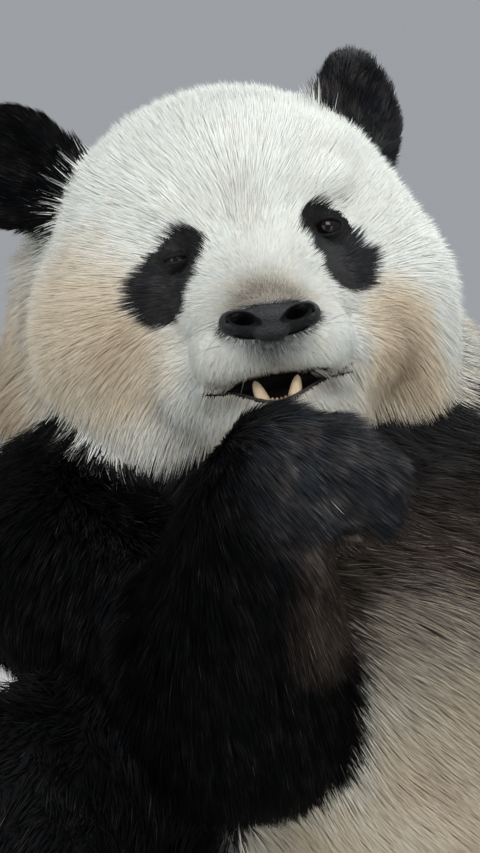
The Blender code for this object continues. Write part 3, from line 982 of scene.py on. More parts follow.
# Painted sheen: how much paler than plain black the dark hair is painted, standing in
# for the light it catches, at a place, out to a distance from it.
PAINTED_SHEENS = (
    (("head", (-0.085, 0.0, -0.020)), 0.060, 3.0),
    (("head", (0.075, 0.0, -0.040)), 0.055, 4.0),
    (("head", (0.1280, 0.126, 0.114)), 0.110, 3.0),
    (("body", (-0.045, -0.300, 0.510)), 0.105, 9.5),
)


# Painted sheen: a factor that multiplies the dark hair's colour up, a painted highlight.
def painted_sheen_at(points):
    local = to_head(points)
    total = np.ones(len(points))
    for (where, place), reach, gain in PAINTED_SHEENS:
        spot = local if where == "head" else points
        total += gain * ease(reach, reach * 0.45, np.linalg.norm(spot - place, axis=1))
    return total


DOWN = np.array((0, 0, -1.0))
BELLY_WAY = np.array((0.85, -0.10, -0.55))
# The hair of the raised forearm and paw fans out from here, over the wrist.
WRIST_FAN = np.array((-0.220, -0.220, 0.560))


def lie_of(points, normals, part, owner_names):
    """The way the hair lies: back from the nose, down the body, along the limbs."""
    local = to_head(points)
    away = local - NOSE_TIP - np.array((0, -0.02, 0.015))
    from_nose = unit(away) @ HEAD_TURN.T
    distance = np.linalg.norm(away, axis=1)
    fall = ease(-0.02, -0.14, local[:, 2]) * ease(0.05, 0.14, distance) * 1.3
    head_way = from_nose + fall[:, None] * DOWN
    way = np.zeros_like(points) + DOWN
    on_head = part == "head"
    way[on_head] = head_way[on_head]
    neck = part == "neck"
    way[neck] = (from_nose * 0.8 + DOWN * 0.9)[neck]
    trunk = np.isin(part, ["chest", "abdomen"])
    outward = points - np.array((-0.05, 0.06, 0.0))
    outward[:, 2] = 0
    sideways = ease(0.10, -0.08, points[:, 1]) * ease(0.54, 0.47, points[:, 2])
    down = DOWN + unit(outward) * 0.15
    way[trunk] = (down + (BELLY_WAY - down) * sideways[:, None])[trunk]
    for name, (start, end, droop) in LIMB_WAYS.items():
        chosen = owner_names == name
        line = np.asarray(end) - np.asarray(start)
        line = line / np.linalg.norm(line)
        way[chosen] = line + DOWN * droop
    for side, sign in SIDES.items():
        chosen = owner_names == f"ear_{side}"
        base = from_head((sign * 0.115, 0.10, 0.06))
        way[chosen] = unit(points[chosen] - base)
    fan = np.isin(owner_names, ["forearm_right", "forepaw_right"])
    way[fan] = unit(points[fan] - WRIST_FAN) + DOWN * 0.30
    turned = noise(points, 0.07, 5)
    across = np.cross(normals, unit(way))
    way = unit(way) + across * turned[:, None] * 0.30
    return along_surface(way, normals)


# The lie of the hair on each limb node: from, to, and how much it hangs.
LIMB_WAYS = {
    "tail": ((0, 0.18, 0.09), (0.014, 0.32, 0.04), 0.2),
    "upper_arm_right": ((-0.26, 0.06, 0.46), (-0.20, -0.16, 0.33), 0.9),
    "forearm_right": ((-0.13, -0.26, 0.50), (-0.14, -0.21, 0.30), 1.2),
    "forepaw_right": ((-0.13, -0.262, 0.50), (0.02, -0.27, 0.52), 0.15),
    "upper_arm_left": ((0.06, 0.10, 0.45), (0.28, -0.015, 0.32), 0.9),
    "forearm_left": ((0.28, -0.015, 0.32), (0.29, -0.20, 0.29), 0.5),
    "forepaw_left": ((0.29, -0.20, 0.29), (0.30, -0.34, 0.26), 0.1),
    "thigh_right": ((-0.15, 0.01, 0.19), (-0.325, -0.25, 0.20), 0.6),
    "thigh_left": ((0.14, 0.01, 0.16), (0.325, -0.245, 0.13), 0.6),
    "shank_right": ((-0.325, -0.25, 0.22), (-0.285, -0.52, 0.06), 0.3),
    "shank_left": ((0.325, -0.245, 0.12), (0.298, -0.525, 0.06), 0.3),
    "hindpaw_right": ((-0.285, -0.50, 0.05), (-0.31, -0.56, 0.20), 0.0),
    "hindpaw_left": ((0.298, -0.50, 0.05), (0.32, -0.56, 0.20), 0.0),
}
UPRIGHT = ((0, 0, 0), (0, 0, 1), 0)


# Coat: tufts


def tuft_faces(segments):
    """The triangles of one closed tuft of three sides that ends in a point."""
    faces = [(0, 2, 1)]
    for ring in range(segments - 1):
        for side in range(3):
            a = ring * 3 + side
            b = ring * 3 + (side + 1) % 3
            faces += [(a, b, b + 3), (a, b + 3, a + 3)]
    last = (segments - 1) * 3
    tip = segments * 3
    faces += [(last + side, last + (side + 1) % 3, tip) for side in range(3)]
    return np.array(faces)


def scatter(points, triangles, weights, count):
    """count places spread over the triangles: their corners' shares and indices."""
    corners = points[triangles]
    cross = np.cross(corners[:, 1] - corners[:, 0], corners[:, 2] - corners[:, 0])
    chance = np.linalg.norm(cross, axis=1) * weights
    total = np.cumsum(chance)
    steps = (np.arange(count) + DICE.random(count)) / count * total[-1]
    chosen = np.minimum(np.searchsorted(total, steps), len(triangles) - 1)
    first = np.sqrt(DICE.random(count))
    second = DICE.random(count)
    shares = np.stack([1 - first, first * (1 - second), first * second], axis=1)
    return chosen, shares


CLEAR = 0.002  # the hair keeps this far above the floor


def grow_paths(skin, roots, normals, lie, length, depth, segments, droop):
    """The rings' middles of each tuft from root to tip, laid along the body."""
    count = len(roots)
    lift = DICE.uniform(0.55, 1.10, count) * depth / length
    sway = unit(DICE.normal(size=(count, 3))) * 0.10
    path = [roots]
    place = roots
    for step in range(segments):
        share = (step + 0.5) / segments
        up = skin.field.slope(place) if step else normals
        way = along_surface(lie + sway + DOWN * droop * share, up)
        rise = np.clip(lift * 2 * (1 - share), 0.02, 0.9)
        way = unit(way * np.sqrt(1 - rise**2)[:, None] + up * rise[:, None])
        place = place + way * (length / segments)[:, None]
        place[:, 2] = np.maximum(place[:, 2], CLEAR)
        path.append(place)
    return np.stack(path, axis=1)


def gathered(paths, length, share):
    """Draws the tufts' tips together into locks."""
    count = len(paths)
    seeds = np.flatnonzero(DICE.random(count) < LOCK_SEEDS)
    tree = KDTree(len(seeds))
    for number, seed in enumerate(seeds):
        tree.insert(paths[seed, 0], number)
    tree.balance()
    lock = np.array([tree.find(point)[1] for point in paths[:, 0]])
    leader = seeds[lock]
    near = np.linalg.norm(paths[leader, 0] - paths[:, 0], axis=1) < length * 0.9
    steps = np.linspace(0, 1, paths.shape[1])[None, :, None]
    pull = (share * near * DICE.uniform(0.5, 1.2, count))[:, None, None] * steps
    return paths + (paths[leader] - paths) * np.clip(pull, 0, 1), lock


def tuft_mesh(name, paths, widths, up, softness):
    """All the tufts as one mesh, with soft normals. Returns it and its rings."""
    count, rings, _ = paths.shape
    segments = rings - 1
    along = unit(paths[:, 1:] - paths[:, :-1])
    across = unit(np.cross(along[:, 0], up))
    points = []
    normals = []
    for ring in range(segments):
        swell = (0.8, 1.0, 0.7)[ring] if segments > 1 else 1.0
        over = unit(np.cross(along[:, ring], across))
        for corner in range(3):
            angle = 2 * math.pi * corner / 3 + math.pi / 2
            out = across * math.cos(angle) + over * math.sin(angle) * 0.6
            points.append(paths[:, ring] + out * (widths * swell * 0.5)[:, None])
            normals.append(unit(up * softness + out * (1 - softness)))
    points.append(paths[:, -1])
    normals.append(unit(up * softness + along[:, -1] * (1 - softness) * 0.5))
    points = np.stack(points, axis=1)
    normals = np.stack(normals, axis=1)
    each = points.shape[1]
    faces = tuft_faces(segments)[None] + (np.arange(count) * each)[:, None, None]
    obj = triangle_mesh(name, points.reshape(-1, 3), faces.reshape(-1, 3), normals.reshape(-1, 3))
    return obj, each


def unwrap(points, centre, axis):
    """A place in a square for each root: angles round an axis, and height along it."""
    axis = np.asarray(axis, np.float64)
    side = unit(np.cross(axis, (0.3, 0.9, 0.2)))
    other = np.cross(axis, side)
    local = points - centre
    turn = np.arctan2(local @ other, local @ side)
    middle = np.arctan2(np.sin(turn).mean(), np.cos(turn).mean())
    turn = (turn - middle + math.pi) % (2 * math.pi) - math.pi
    tall = np.arctan2(local @ axis, np.hypot(local @ side, local @ other))
    flat = np.stack([turn, tall], axis=1)
    low, high = flat.min(axis=0), flat.max(axis=0)
    return (flat - low) / (high - low) * 0.99 + 0.003


def laid_out(roots, owner_names):
    """The unwrap of a piece. A right and a left limb lie side by side on it."""
    sides = np.array([name.rsplit("_", 1)[-1] for name in owner_names])
    paired = [side for side in SIDES if (sides == side).mean() > 0.2]
    if len(paired) < 2:
        paired = [None]
    places = np.zeros((len(roots), 2))
    for number, side in enumerate(paired):
        chosen = sides == side if side else np.ones(len(roots), bool)
        if side and number == len(paired) - 1:
            chosen = sides != paired[0]
        names, counts = np.unique(owner_names[chosen], return_counts=True)
        start, end, _ = LIMB_WAYS.get(names[counts.argmax()], UPRIGHT)
        flat = unwrap(roots[chosen], roots[chosen].mean(axis=0), unit(np.subtract(end, start)))
        flat[:, 0] = (flat[:, 0] + number) / len(paired)
        places[chosen] = flat
    return places


PATCH = 0.003  # across one tuft's patch on the unwrap


def tuft_map(mesh, roots, each, segments):
    """The map OFBake: each tuft is a small patch at its root's place."""
    ring = np.arange(each) // 3
    corner = np.arange(each) % 3
    spot = np.stack([corner / 2.0, ring / max(segments, 1)], axis=1) * PATCH
    places = (roots[:, None] + spot[None]).reshape(-1, 2)
    layer = mesh.uv_layers.new(name="OFBake")
    loops = np.empty(len(mesh.loops), np.int32)
    mesh.loops.foreach_get("vertex_index", loops)
    layer.data.foreach_set("uv", places[loops].astype(np.float32).ravel())


TUFT_LENGTHS = (0.65, 1.15)  # the shortest and longest against the coat's length there
TUFT_WIDTHS = (0.7, 1.2)
LOCK_SEEDS = 0.03  # the share of tufts that draw the others round them into a lock
# The share of black tufts that get strong painted highlights on their tips.
PAINTED_GLINT_SHARE = 0.05  # the share of black tufts that shine

# The coat's pieces: the zone that each covers, how many tufts it has, their segments,
# how they droop and gather into locks, and the slot of their finish.
COAT_PIECES = {
    "coat_muzzle": ("muzzle", 30000, 1, 0.0, 0.06, "coat_white"),
    "coat_face_right": ("face_right", 40000, 1, 0.10, 0.14, "coat_white"),
    "coat_face_left": ("face_left", 38000, 1, 0.10, 0.14, "coat_white"),
    "coat_head_back": ("head_back", 18000, 1, 0.2, 0.20, "coat_white"),
    "coat_ears": ("ears", 13000, 1, 0.0, 0.3, "coat_black"),
    "coat_ruff": ("neck", 24000, 1, 0.4, 0.35, "coat_cream"),
    "coat_chest": ("chest", 28000, 1, 0.4, 0.25, "coat_black"),
    "coat_belly": ("belly", 42000, 1, 0.2, 0.12, "coat_white"),
    "coat_back": ("back", 18000, 1, 0.4, 0.45, "coat_white"),
    "coat_upper_arms": ("upper_arm", 28000, 1, 0.4, 0.45, "coat_black"),
    "coat_forearm_right": ("forearm_right", 34000, 1, 0.6, 0.40, "coat_black"),
    "coat_forearm_left": ("forearm_left", 8000, 1, 0.5, 0.45, "coat_black"),
    "coat_forepaw_right": ("forepaw_right", 20000, 1, 0.1, 0.3, "coat_black"),
    "coat_forepaw_left": ("forepaw_left", 7000, 1, 0.1, 0.3, "coat_black"),
    "coat_thighs": ("thigh", 20000, 1, 0.3, 0.45, "coat_black"),
    "coat_shanks": ("shank", 9000, 1, 0.2, 0.45, "coat_black"),
    "coat_hindpaws": ("hindpaw", 8000, 1, 0.0, 0.3, "coat_black"),
    "coat_tail": ("tail", 2500, 1, 0.3, 0.45, "coat_cream"),
}


def zones_of(points, part, owner_names):
    """The name of the coat piece's zone that each point is in."""
    local = to_head(points)
    away = np.linalg.norm(local - NOSE_TIP, axis=1)
    zones = np.array(part, dtype=object)
    head = part == "head"
    zones[head & (local[:, 0] < 0)] = "face_right"
    zones[head & (local[:, 0] >= 0)] = "face_left"
    zones[head & (local[:, 1] > 0.10)] = "head_back"
    zones[head & (away < 0.072)] = "muzzle"
    zones[part == "ear"] = "ears"
    zones[(part == "abdomen") & (points[:, 1] < 0.02)] = "belly"
    zones[(part == "abdomen") & (points[:, 1] >= 0.02)] = "back"
    for name in ("forearm", "forepaw"):
        for side in SIDES:
            zones[owner_names == f"{name}_{side}"] = f"{name}_{side}"
    return zones.astype(str)


def tuft_markings(seen, black):
    """Each tuft's markings. It is all black or all pale, whichever it is nearer to."""
    count = len(seen)
    markings = markings_at(seen, black)
    markings = np.clip(markings + DICE.normal(size=(count, 1)) * 0.05, 0, 1)
    markings[:, 0] = ease(0.35, 0.65, markings[:, 0] + DICE.uniform(-0.25, 0.25, count))
    markings[:, 2] *= DICE.uniform(0.55, 1.30, count)
    return markings


def tuft_shades(seen, black, painted_glint_hairs, lock, step):
    """The shade of each tuft at shares of its length: its tone, which differs at random,
    with painted light and shade. Each tuft is painted darker at its root and paler at its
    tip, the black ones most; painted highlights on the black tips stand in for the light
    they catch, in some locks more than in others and most on a few hairs, and painted
    sheen makes the black paler in places."""
    count = len(seen)
    lock_shade = DICE.uniform(-0.14, 0.10, lock.max() + 1)[lock]
    tone = 1 + (lock_shade + DICE.uniform(-0.12, 0.10, count)) * (0.30 + 0.70 * black)
    dark = black**4
    # Painted highlights: black tips are made paler, more in paler locks.
    painted_glint = np.clip(0.4 + lock_shade * 5, 0, 1) * DICE.exponential(1.2, count)
    # Painted sheen: the dark hair's colour is multiplied up where it catches the light.
    sheen = 1 + (painted_sheen_at(seen) - 1) * dark
    painted_glint = (painted_glint + painted_glint_hairs * DICE.uniform(4, 15, count) / sheen**0.8) * dark
    tone = tone * sheen
    # Painted shade at the root and painted light at the tip.
    root = (0.98 - 0.12 * black)[:, None]
    return tone[:, None] * (root + (1.05 - root) * step) * (1 + painted_glint[:, None] * step)


def coat_piece(skin, name, zones, finish):
    """Grows one piece of the coat."""
    zone, count, segments, droop, gather, slot = COAT_PIECES[name]
    weights = ((zones == zone) * skin.values[:, 3] * skin.hairy)[skin.triangles].mean(axis=1)
    chosen, shares = scatter(skin.points, skin.triangles, weights, count)
    corners = skin.triangles[chosen]

    def read(values):
        if values.ndim == 1:
            return (values[corners] * shares).sum(axis=1)
        return (values[corners] * shares[..., None]).sum(axis=1)

    roots = read(skin.points)
    normals = unit(read(skin.normals))
    lie = unit(read(skin.lie))
    depth, length, width, _ = read(skin.values).T
    calm = read(skin.calm)
    length = length * DICE.uniform(*TUFT_LENGTHS, count) * calm
    depth = depth * calm**2
    width = width * DICE.uniform(*TUFT_WIDTHS, count)
    paths = grow_paths(skin, roots, normals, lie, length, depth, segments, droop)
    paths, lock = gathered(paths, length, gather)
    seen = roots * 0.4 + paths[:, -1] * 0.6
    markings = tuft_markings(seen, read(skin.black))
    black = markings[:, 0]
    softness = 0.965 - 0.56 * black.mean()
    # The tufts that get strong painted highlights; the black ones among them are thinner.
    painted_glint_hairs = DICE.random(count) < PAINTED_GLINT_SHARE
    obj, each = tuft_mesh(name, paths, width * (1 - 0.35 * painted_glint_hairs * black), normals, softness)
    step = (np.minimum(np.arange(each) // 3, segments) / segments)[None]
    shade = tuft_shades(seen, black, painted_glint_hairs, lock, step)
    set_attribute(obj.data, "markings", "FLOAT_COLOR", np.repeat(markings, each, axis=0))
    set_attribute(obj.data, "shade", "FLOAT", shade)
    tuft_map(obj.data, laid_out(roots, skin.owner_names[corners[:, 0]]), each, segments)
    obj.data.materials.append(finish)
    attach(obj, "root")
    return obj


# Face


class Surface:
    """The finished skin, met by straight lines from in front of it."""

    def __init__(self, skin):
        self.tree = BVHTree.FromPolygons(skin.points.tolist(), skin.triangles.tolist())

    def meet(self, start, way):
        """Where a line from start meets the skin, and the skin's normal there."""
        point, normal, _, _ = self.tree.ray_cast(Vector(start), Vector(way))
        if point is None:
            point, normal, _, _ = self.tree.find_nearest(Vector(start))
        return np.array(point), np.array(normal)

    def on_snout(self, across, up):
        """The point of the face at a place of the straight snout seen from in front."""
        point = np.array((across, -0.09, up))
        for _ in range(4):
            held = snout(point)
            point = straight(np.array((held[0], self.face_y(held[0], held[2]), held[2])))
            point = np.array((across, point[1], up))
        return point

    def face_y(self, across, up):
        """The y of the face at a place seen from in front, in the head's own axes."""
        start = from_head((across, -0.3, up))
        way = from_head((across, 0.0, up)) - start
        return to_head(self.meet(start, way)[0])[1]


def solid_where(name, distance, low, high, voxel):
    """A solid of the head's own axes wherever distance(points) is negative."""
    axes = [np.arange(start, end, voxel) for start, end in zip(low, high)]
    cells = np.stack(np.meshgrid(*axes, indexing="ij"), axis=-1)
    values = distance(cells.reshape(-1, 3)).reshape(cells.shape[:3])
    points, quads = surface_of(Field(values.astype(np.float32), low, voxel))
    obj = mesh_object(name, from_head(points), quads.tolist())
    turn_outward(obj.data)
    return obj


NOSTRIL = np.array((0.0222, 0.0, 0.0000))
NOSTRIL_TURN = rotation_of(Matrix.Rotation(math.radians(-14), 3, "Y"))


def nostril_holes(local):
    """The two nostrils from the nose's middle. Each is wide and round at its outer end,
    narrow towards the middle, and runs out below in a slit."""
    holes = []
    for sign in SIDES.values():
        place = (local * (sign, 1, 1) - NOSTRIL) @ NOSTRIL_TURN
        hole = ellipsoid(place, (0.0022, -0.0140, 0), (0.0122, 0.0120, 0.0066))
        inner = ellipsoid(place, (-0.0074, -0.0140, -0.0018), (0.0080, 0.0090, 0.0040))
        throat = ellipsoid(place, (0.0, -0.0040, 0.0005), (0.0100, 0.0150, 0.0052))
        end = (0.0150, -0.0030, -0.0060)
        slit = capsule(place, (0.0100, -0.0120, -0.0025), end, 0.0020, 0.0010)
        holes.append(np.minimum.reduce([blended(hole, inner, 0.003), throat, slit]))
    return np.minimum(*holes)


def nose_distance(points):
    """The nose leather: two lobes, a lower lip of leather, nostrils and a groove."""
    local = straight(points) - NOSE
    body = ellipsoid(local, (0, -0.0010, 0.0000), (0.0230, 0.0125, 0.0112))
    body = blended(body, ellipsoid(local, (0, 0.0010, -0.0105), (0.0155, 0.0110, 0.0090)), 0.004)
    body = blended(body, ellipsoid(local, (0, 0.0140, -0.003), (0.0350, 0.0160, 0.0130)), 0.004)
    for sign in SIDES.values():
        lobe = ellipsoid(local, (sign * 0.0215, 0.0025, 0.0005), (0.0190, 0.0138, 0.0102))
        wing = ellipsoid(local, (sign * 0.0325, -0.0005, -0.0012), (0.0085, 0.0115, 0.0096))
        body = blended(blended(body, lobe, 0.004), wing, 0.003)
    body = carved(body, nostril_holes(local), 0.0012)
    groove = capsule(local, (0, -0.0150, -0.0020), (0, -0.0115, -0.0240), 0.0010, 0.0016)
    dip = ellipsoid(local, (0, -0.0080, 0.0150), (0.0100, 0.0130, 0.0045))
    return carved(carved(body, groove, 0.0016), dip, 0.004)


def nose_piece():
    reach = np.array((0.046, 0.034, 0.030))
    middle = snout(NOSE)
    nose = solid_where("nose_leather", nose_distance, middle - reach, middle + reach, 0.0008)
    local = straight(to_head(vertex_array(nose.data))) - NOSE
    # Painted shade: how deep in a nostril each point lies, for painting it black.
    deep = ease(0.0014, 0.0005, nostril_holes(local)) * ease(-0.0130, -0.0110, local[:, 1])
    set_attribute(nose.data, "deep", "FLOAT", deep)
    nose.data.materials.append(nose_finish())
    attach(nose, "root")
    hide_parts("nose")


def rings_mesh(name, rings, closed_tube=False):
    """Faces between neighbouring rings of points. Rings are arrays of equal length."""
    rings = np.asarray(rings)
    rows, count, _ = rings.shape
    step = np.arange(count)
    after = (step + 1) % count
    faces = []
    pairs = [(row, row + 1) for row in range(rows - 1)]
    if closed_tube:
        pairs.append((rows - 1, 0))
    for near, far in pairs:
        a, b = near * count + step, near * count + after
        c, d = far * count + after, far * count + step
        faces += np.stack([a, b, c, d], axis=1).tolist()
    if not closed_tube:
        faces += [step[::-1].tolist(), ((rows - 1) * count + step).tolist()]
    obj = mesh_object(name, rings.reshape(-1, 3), faces)
    turn_outward(obj.data)
    return obj


# The rows of an eyelid, from inside the eye outwards: how far each lies beyond the
# opening, and how far it stands over the eyeball or, past that, over the skin.
LID_ROWS = (
    (-0.0006, -0.0006),
    (0.0000, 0.0005),
    (0.0007, 0.0016),
    (0.0018, 0.0021),
    (0.0034, 0.0019),
)
LID_SKIRT = ((0.0060, 0.0009), (0.0090, 0.0004), (0.0125, -0.0016))


def lid_piece(surface, side, finish):
    """The lids of one eye as a ring that runs out under the hair of the socket."""
    half, above, below = EYE_OPENINGS[side]
    place = EYE_PLACES[side]
    turn = np.linspace(0, 2 * math.pi, 72, endpoint=False)
    tall = np.where(np.sin(turn) > 0, above, below)
    rim = np.stack([half * np.cos(turn), tall * np.sin(turn)], axis=1)
    outward = unit(np.stack([np.cos(turn) / half, np.sin(turn) / tall], axis=1) * tall[:, None])
    rings = []
    for beyond_rim, over in LID_ROWS:
        flat = rim + outward * beyond_rim
        reach = np.linalg.norm(flat, axis=1)
        fold = 0.0007 * np.sin(turn).clip(0) * (beyond_rim > 0.001)
        deep = lid_depth(reach, EYEBALL + over) - fold
        rings.append(np.stack([flat[:, 0], deep, flat[:, 1]], axis=1) + place)
    for beyond_rim, over in LID_SKIRT:
        flat = rim + outward * beyond_rim + place[[0, 2]]
        deep = np.array([surface.face_y(x, z) for x, z in flat]) - over
        deep = deep - 0.0006 * np.cos(turn * 7 + beyond_rim * 900) * (over > 0)
        rings.append(np.stack([flat[:, 0], deep, flat[:, 1]], axis=1))
    rings.append(rings[-1] + (0, 0.004, 0))
    rings.append(rings[0] + (0, 0.002, 0))
    lid = rings_mesh(f"eyelids_{side}", from_head(np.array(rings)), closed_tube=True)
    lid.data.materials.append(finish)
    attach(lid, "root")


CORNEA = (0.62, 0.0011)  # the angle from its middle at which it starts, its height


def eye_piece(side, finish):
    """An eyeball with a bulging cornea. ring tells the finish where the iris is."""
    angles = np.linspace(0.02, math.pi - 0.02, 30)
    turn = np.linspace(0, 2 * math.pi, 40, endpoint=False)
    edge, height = CORNEA
    rings = []
    for angle in angles:
        radius = EYEBALL - 0.0001 + height * float(ease(edge, edge * 0.5, np.array(angle)))
        flat = radius * math.sin(angle)
        deep = np.full(len(turn), -radius * math.cos(angle))
        rings.append(np.stack([flat * np.cos(turn), deep, flat * np.sin(turn)], axis=1))
    gaze = rotation_of(Matrix.Rotation(math.radians(-6 * SIDES[side]), 3, "Z"))
    rings = np.array(rings) @ gaze.T + EYE_PLACES[side]
    eye = rings_mesh(f"eyeball_{side}", from_head(rings))
    set_attribute(eye.data, "ring", "FLOAT", np.repeat(angles / (math.pi / 2), len(turn)))
    eye.data.materials.append(finish)
    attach(eye, "root")
    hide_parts(f"eye_{side}")


def strand_tree(sides):
    """Geometry Nodes that sweep a ring along curves, as thick as their radii say."""
    tree = bpy.data.node_groups.new("strands", "GeometryNodeTree")
    faces = tree.interface
    faces.new_socket("Geometry", in_out="INPUT", socket_type="NodeSocketGeometry")
    finish = faces.new_socket("Finish", in_out="INPUT", socket_type="NodeSocketMaterial")
    faces.new_socket("Geometry", in_out="OUTPUT", socket_type="NodeSocketGeometry")
    start = tree.nodes.new("NodeGroupInput")
    ring = tree.nodes.new("GeometryNodeCurvePrimitiveCircle")
    ring.inputs["Resolution"].default_value = sides
    ring.inputs["Radius"].default_value = 1.0
    sweep = tree.nodes.new("GeometryNodeCurveToMesh")
    sweep.inputs["Fill Caps"].default_value = True
    radius = tree.nodes.new("GeometryNodeInputRadius")
    realize = tree.nodes.new("GeometryNodeRealizeInstances")
    paint = tree.nodes.new("GeometryNodeSetMaterial")
    end = tree.nodes.new("NodeGroupOutput")
    join = tree.links.new
    join(start.outputs["Geometry"], sweep.inputs["Curve"])
    join(ring.outputs["Curve"], sweep.inputs["Profile Curve"])
    if "Scale" in sweep.inputs:
        join(radius.outputs["Radius"], sweep.inputs["Scale"])
    join(sweep.outputs["Mesh"], realize.inputs["Geometry"])
    join(realize.outputs["Geometry"], paint.inputs["Geometry"])
    join(start.outputs["Finish"], paint.inputs["Material"])
    join(paint.outputs["Geometry"], end.inputs["Geometry"])
    return tree, finish.identifier


def strands(name, lines, finish, sides=8):
    """Round tapered strands along lines, each a list of (point, radius)."""
    curve = bpy.data.curves.new(name, "CURVE")
    curve.dimensions = "3D"
    for line in lines:
        spline = curve.splines.new("POLY")
        spline.points.add(len(line) - 1)
        for spot, (point, radius) in zip(spline.points, line):
            spot.co = (*point, 1)
            spot.radius = radius
    made = placed(name + "_paths", curve)
    grow = made.modifiers.new("strands", "NODES")
    grow.node_group, identifier = strand_tree(sides)
    grow[identifier] = finish
    mesh = applied(made)
    bpy.data.objects.remove(made)
    bpy.data.curves.remove(curve)
    mesh.shade_smooth()
    mesh.name = name
    return placed(name, mesh)


def lip_line(surface, sign, thickness):
    """A lip from corner to corner: points in the snout's own axes, and radii."""
    shares = np.linspace(-1.06, 1.06, 45)
    bent = np.minimum(np.abs(shares), 1.0)
    middle, half = mouth_shape(bent)
    radii = thickness * (1 - bent**2) + 0.0005
    up = middle + sign * (half + radii * 0.6)
    across = shares * MOUTH_HALF
    line = np.array([surface.on_snout(x, z) for x, z in zip(across, up)])
    deep = line[:, 1] + 0.0006
    for _ in range(6):
        deep[1:-1] = (deep[:-2] + deep[2:]) / 4 + deep[1:-1] / 2
    line[:, 1] = deep + 0.0042 * bent**2
    return line, radii


CANINES = (-0.0120, 0.0120)
INCISORS = (-0.0056, -0.0019, 0.0019, 0.0056)


# The lips: their side of the gap, their thickness and their colour.
LIPS = (
    ("upper_lip", 1, 0.0012, (0.018, 0.016, 0.016)),
    ("lower_lip", -1, 0.0019, (0.024, 0.020, 0.019)),
)


def mouth_pieces(surface):
    for name, sign, thickness, colour in LIPS:
        line, radii = lip_line(surface, sign, thickness)
        finish = leather_finish(f"{name}_leather", colour, 0.50, 600.0, gloss=0.3)
        lip = strands(name, [list(zip(from_head(snout(line)), radii))], finish, sides=12)
        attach(lip, "root")
    lower = line
    teeth = []
    for across in CANINES + INCISORS:
        canine = across in CANINES
        base = np.array((across, np.interp(across, lower[:, 0], lower[:, 1]) + 0.0075, 0))
        base[2] = np.interp(across, lower[:, 0], lower[:, 2]) - 0.003
        tall, thick = (0.0235, 0.0060) if canine else (0.0085, 0.0023)
        lean = np.array((math.copysign(0.28, across), -0.26, 1.0)) if canine else (0, -0.2, 1.0)
        tooth = []
        for share in np.linspace(0, 1, 12):
            radius = thick * math.sqrt(max(1 - share**3, 0)) * (1 - 0.28 * share) + 0.0003
            point = base + unit(np.array(lean)) * tall * share + (0, 0.003 * share**2, 0)
            tooth.append((from_head(snout(point)), radius))
        teeth.append(tooth)
    made = strands("teeth", teeth, tooth_finish(), sides=12)
    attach(made, "root")


# Whiskers: where they stand on the face (across, up), how many, which way they
# point and how long they are, all in the head's own axes.
WHISKERS = (
    ((-0.062, 0.030), 5, (-0.60, -0.40, 0.75), 0.048),
    ((0.060, 0.024), 4, (0.40, -0.45, 0.80), 0.040),
    ((-0.050, -0.078), 5, (-0.80, -0.50, -0.22), 0.050),
    ((0.050, -0.078), 5, (0.80, -0.50, -0.22), 0.050),
    ((-0.030, -0.106), 4, (-0.50, -0.65, -0.50), 0.024),
    ((0.030, -0.106), 4, (0.50, -0.65, -0.50), 0.024),
    ((0.000, -0.158), 5, (0.00, -0.60, -0.75), 0.020),
)


def whisker_piece(surface):
    lines = []
    for (across, up), count, way, length in WHISKERS:
        for _ in range(count):
            x, z = np.array((across, up)) + DICE.normal(size=2) * 0.008
            root = np.array((x, surface.face_y(x, z) + 0.001, z))
            heading = unit(np.array(way) + DICE.normal(size=3) * 0.16)
            long = length * DICE.uniform(0.7, 1.15)
            line = []
            for share in np.linspace(0, 1, 9):
                point = root + heading * long * share + (0, 0, -0.16 * long * share**2)
                line.append((from_head(point), 0.00018 * (1 - share) ** 0.7 + 0.00003))
            lines.append(line)
    finish = Finish("whisker", Specular_IOR_Level=0.5, Roughness=0.4)
    finish.set("Base Color", finish.mix(finish.noise(40.0), (0.05, 0.045, 0.04), (0.32, 0.29, 0.25)))
    whiskers = strands("whiskers", lines, finish.material, sides=4)
    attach(whiskers, "root")


# Claws and pads


def claw_pieces(finish):
    """Each paw's claws, rounded from their solids."""
    for kind in ("fore", "hind"):
        for side in SIDES:
            bm = bmesh.new()
            names = [f"{kind}_claw_{side}_{number}" for number in range(1, 6)]
            for name in names:
                bm.from_mesh(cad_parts[name].data)
            bmesh.ops.remove_doubles(bm, verts=bm.verts, dist=0.00005)
            bmesh.ops.recalc_face_normals(bm, faces=bm.faces)
            mesh = bpy.data.meshes.new(f"{kind}_claws_{side}")
            bm.to_mesh(mesh)
            bm.free()
            claws = placed(mesh.name, mesh)
            rounder = claws.modifiers.new("rounder", "SUBSURF")
            rounder.levels = rounder.render_levels = 2
            claws.data = applied(claws)
            claws.modifiers.clear()
            claws.data.shade_smooth()
            claws.data.materials.clear()
            claws.data.materials.append(finish)
            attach(claws, "root")
            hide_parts(*names)


TOE_PAD = (0.0115, 0.0140, 0.0060)  # half width, half length, thickness
SOLE_PAD = (0.0400, 0.0200, 0.0075)


def pad_places(side):
    """The pads of a hind sole, which faces forward: places, turns and sizes."""
    tips = np.array([centre_of(f"hind_claw_{side}_{number}") for number in range(1, 6)])
    low, high = (np.array(corner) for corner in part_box(f"hindpaw_{side}"))
    heel = np.array(((low[0] + high[0]) / 2, low[1], low[2] + 0.030))
    middle = tips.mean(axis=0)
    places = []
    for tip in tips:
        places.append((tip + unit(heel - tip) * 0.024, unit(tip - heel), TOE_PAD))
    along = unit(middle - heel)
    places.append((middle - along * 0.064, along, SOLE_PAD))
    places.append((heel + along * 0.012, along, (0.024, 0.017, 0.0065)))
    return places


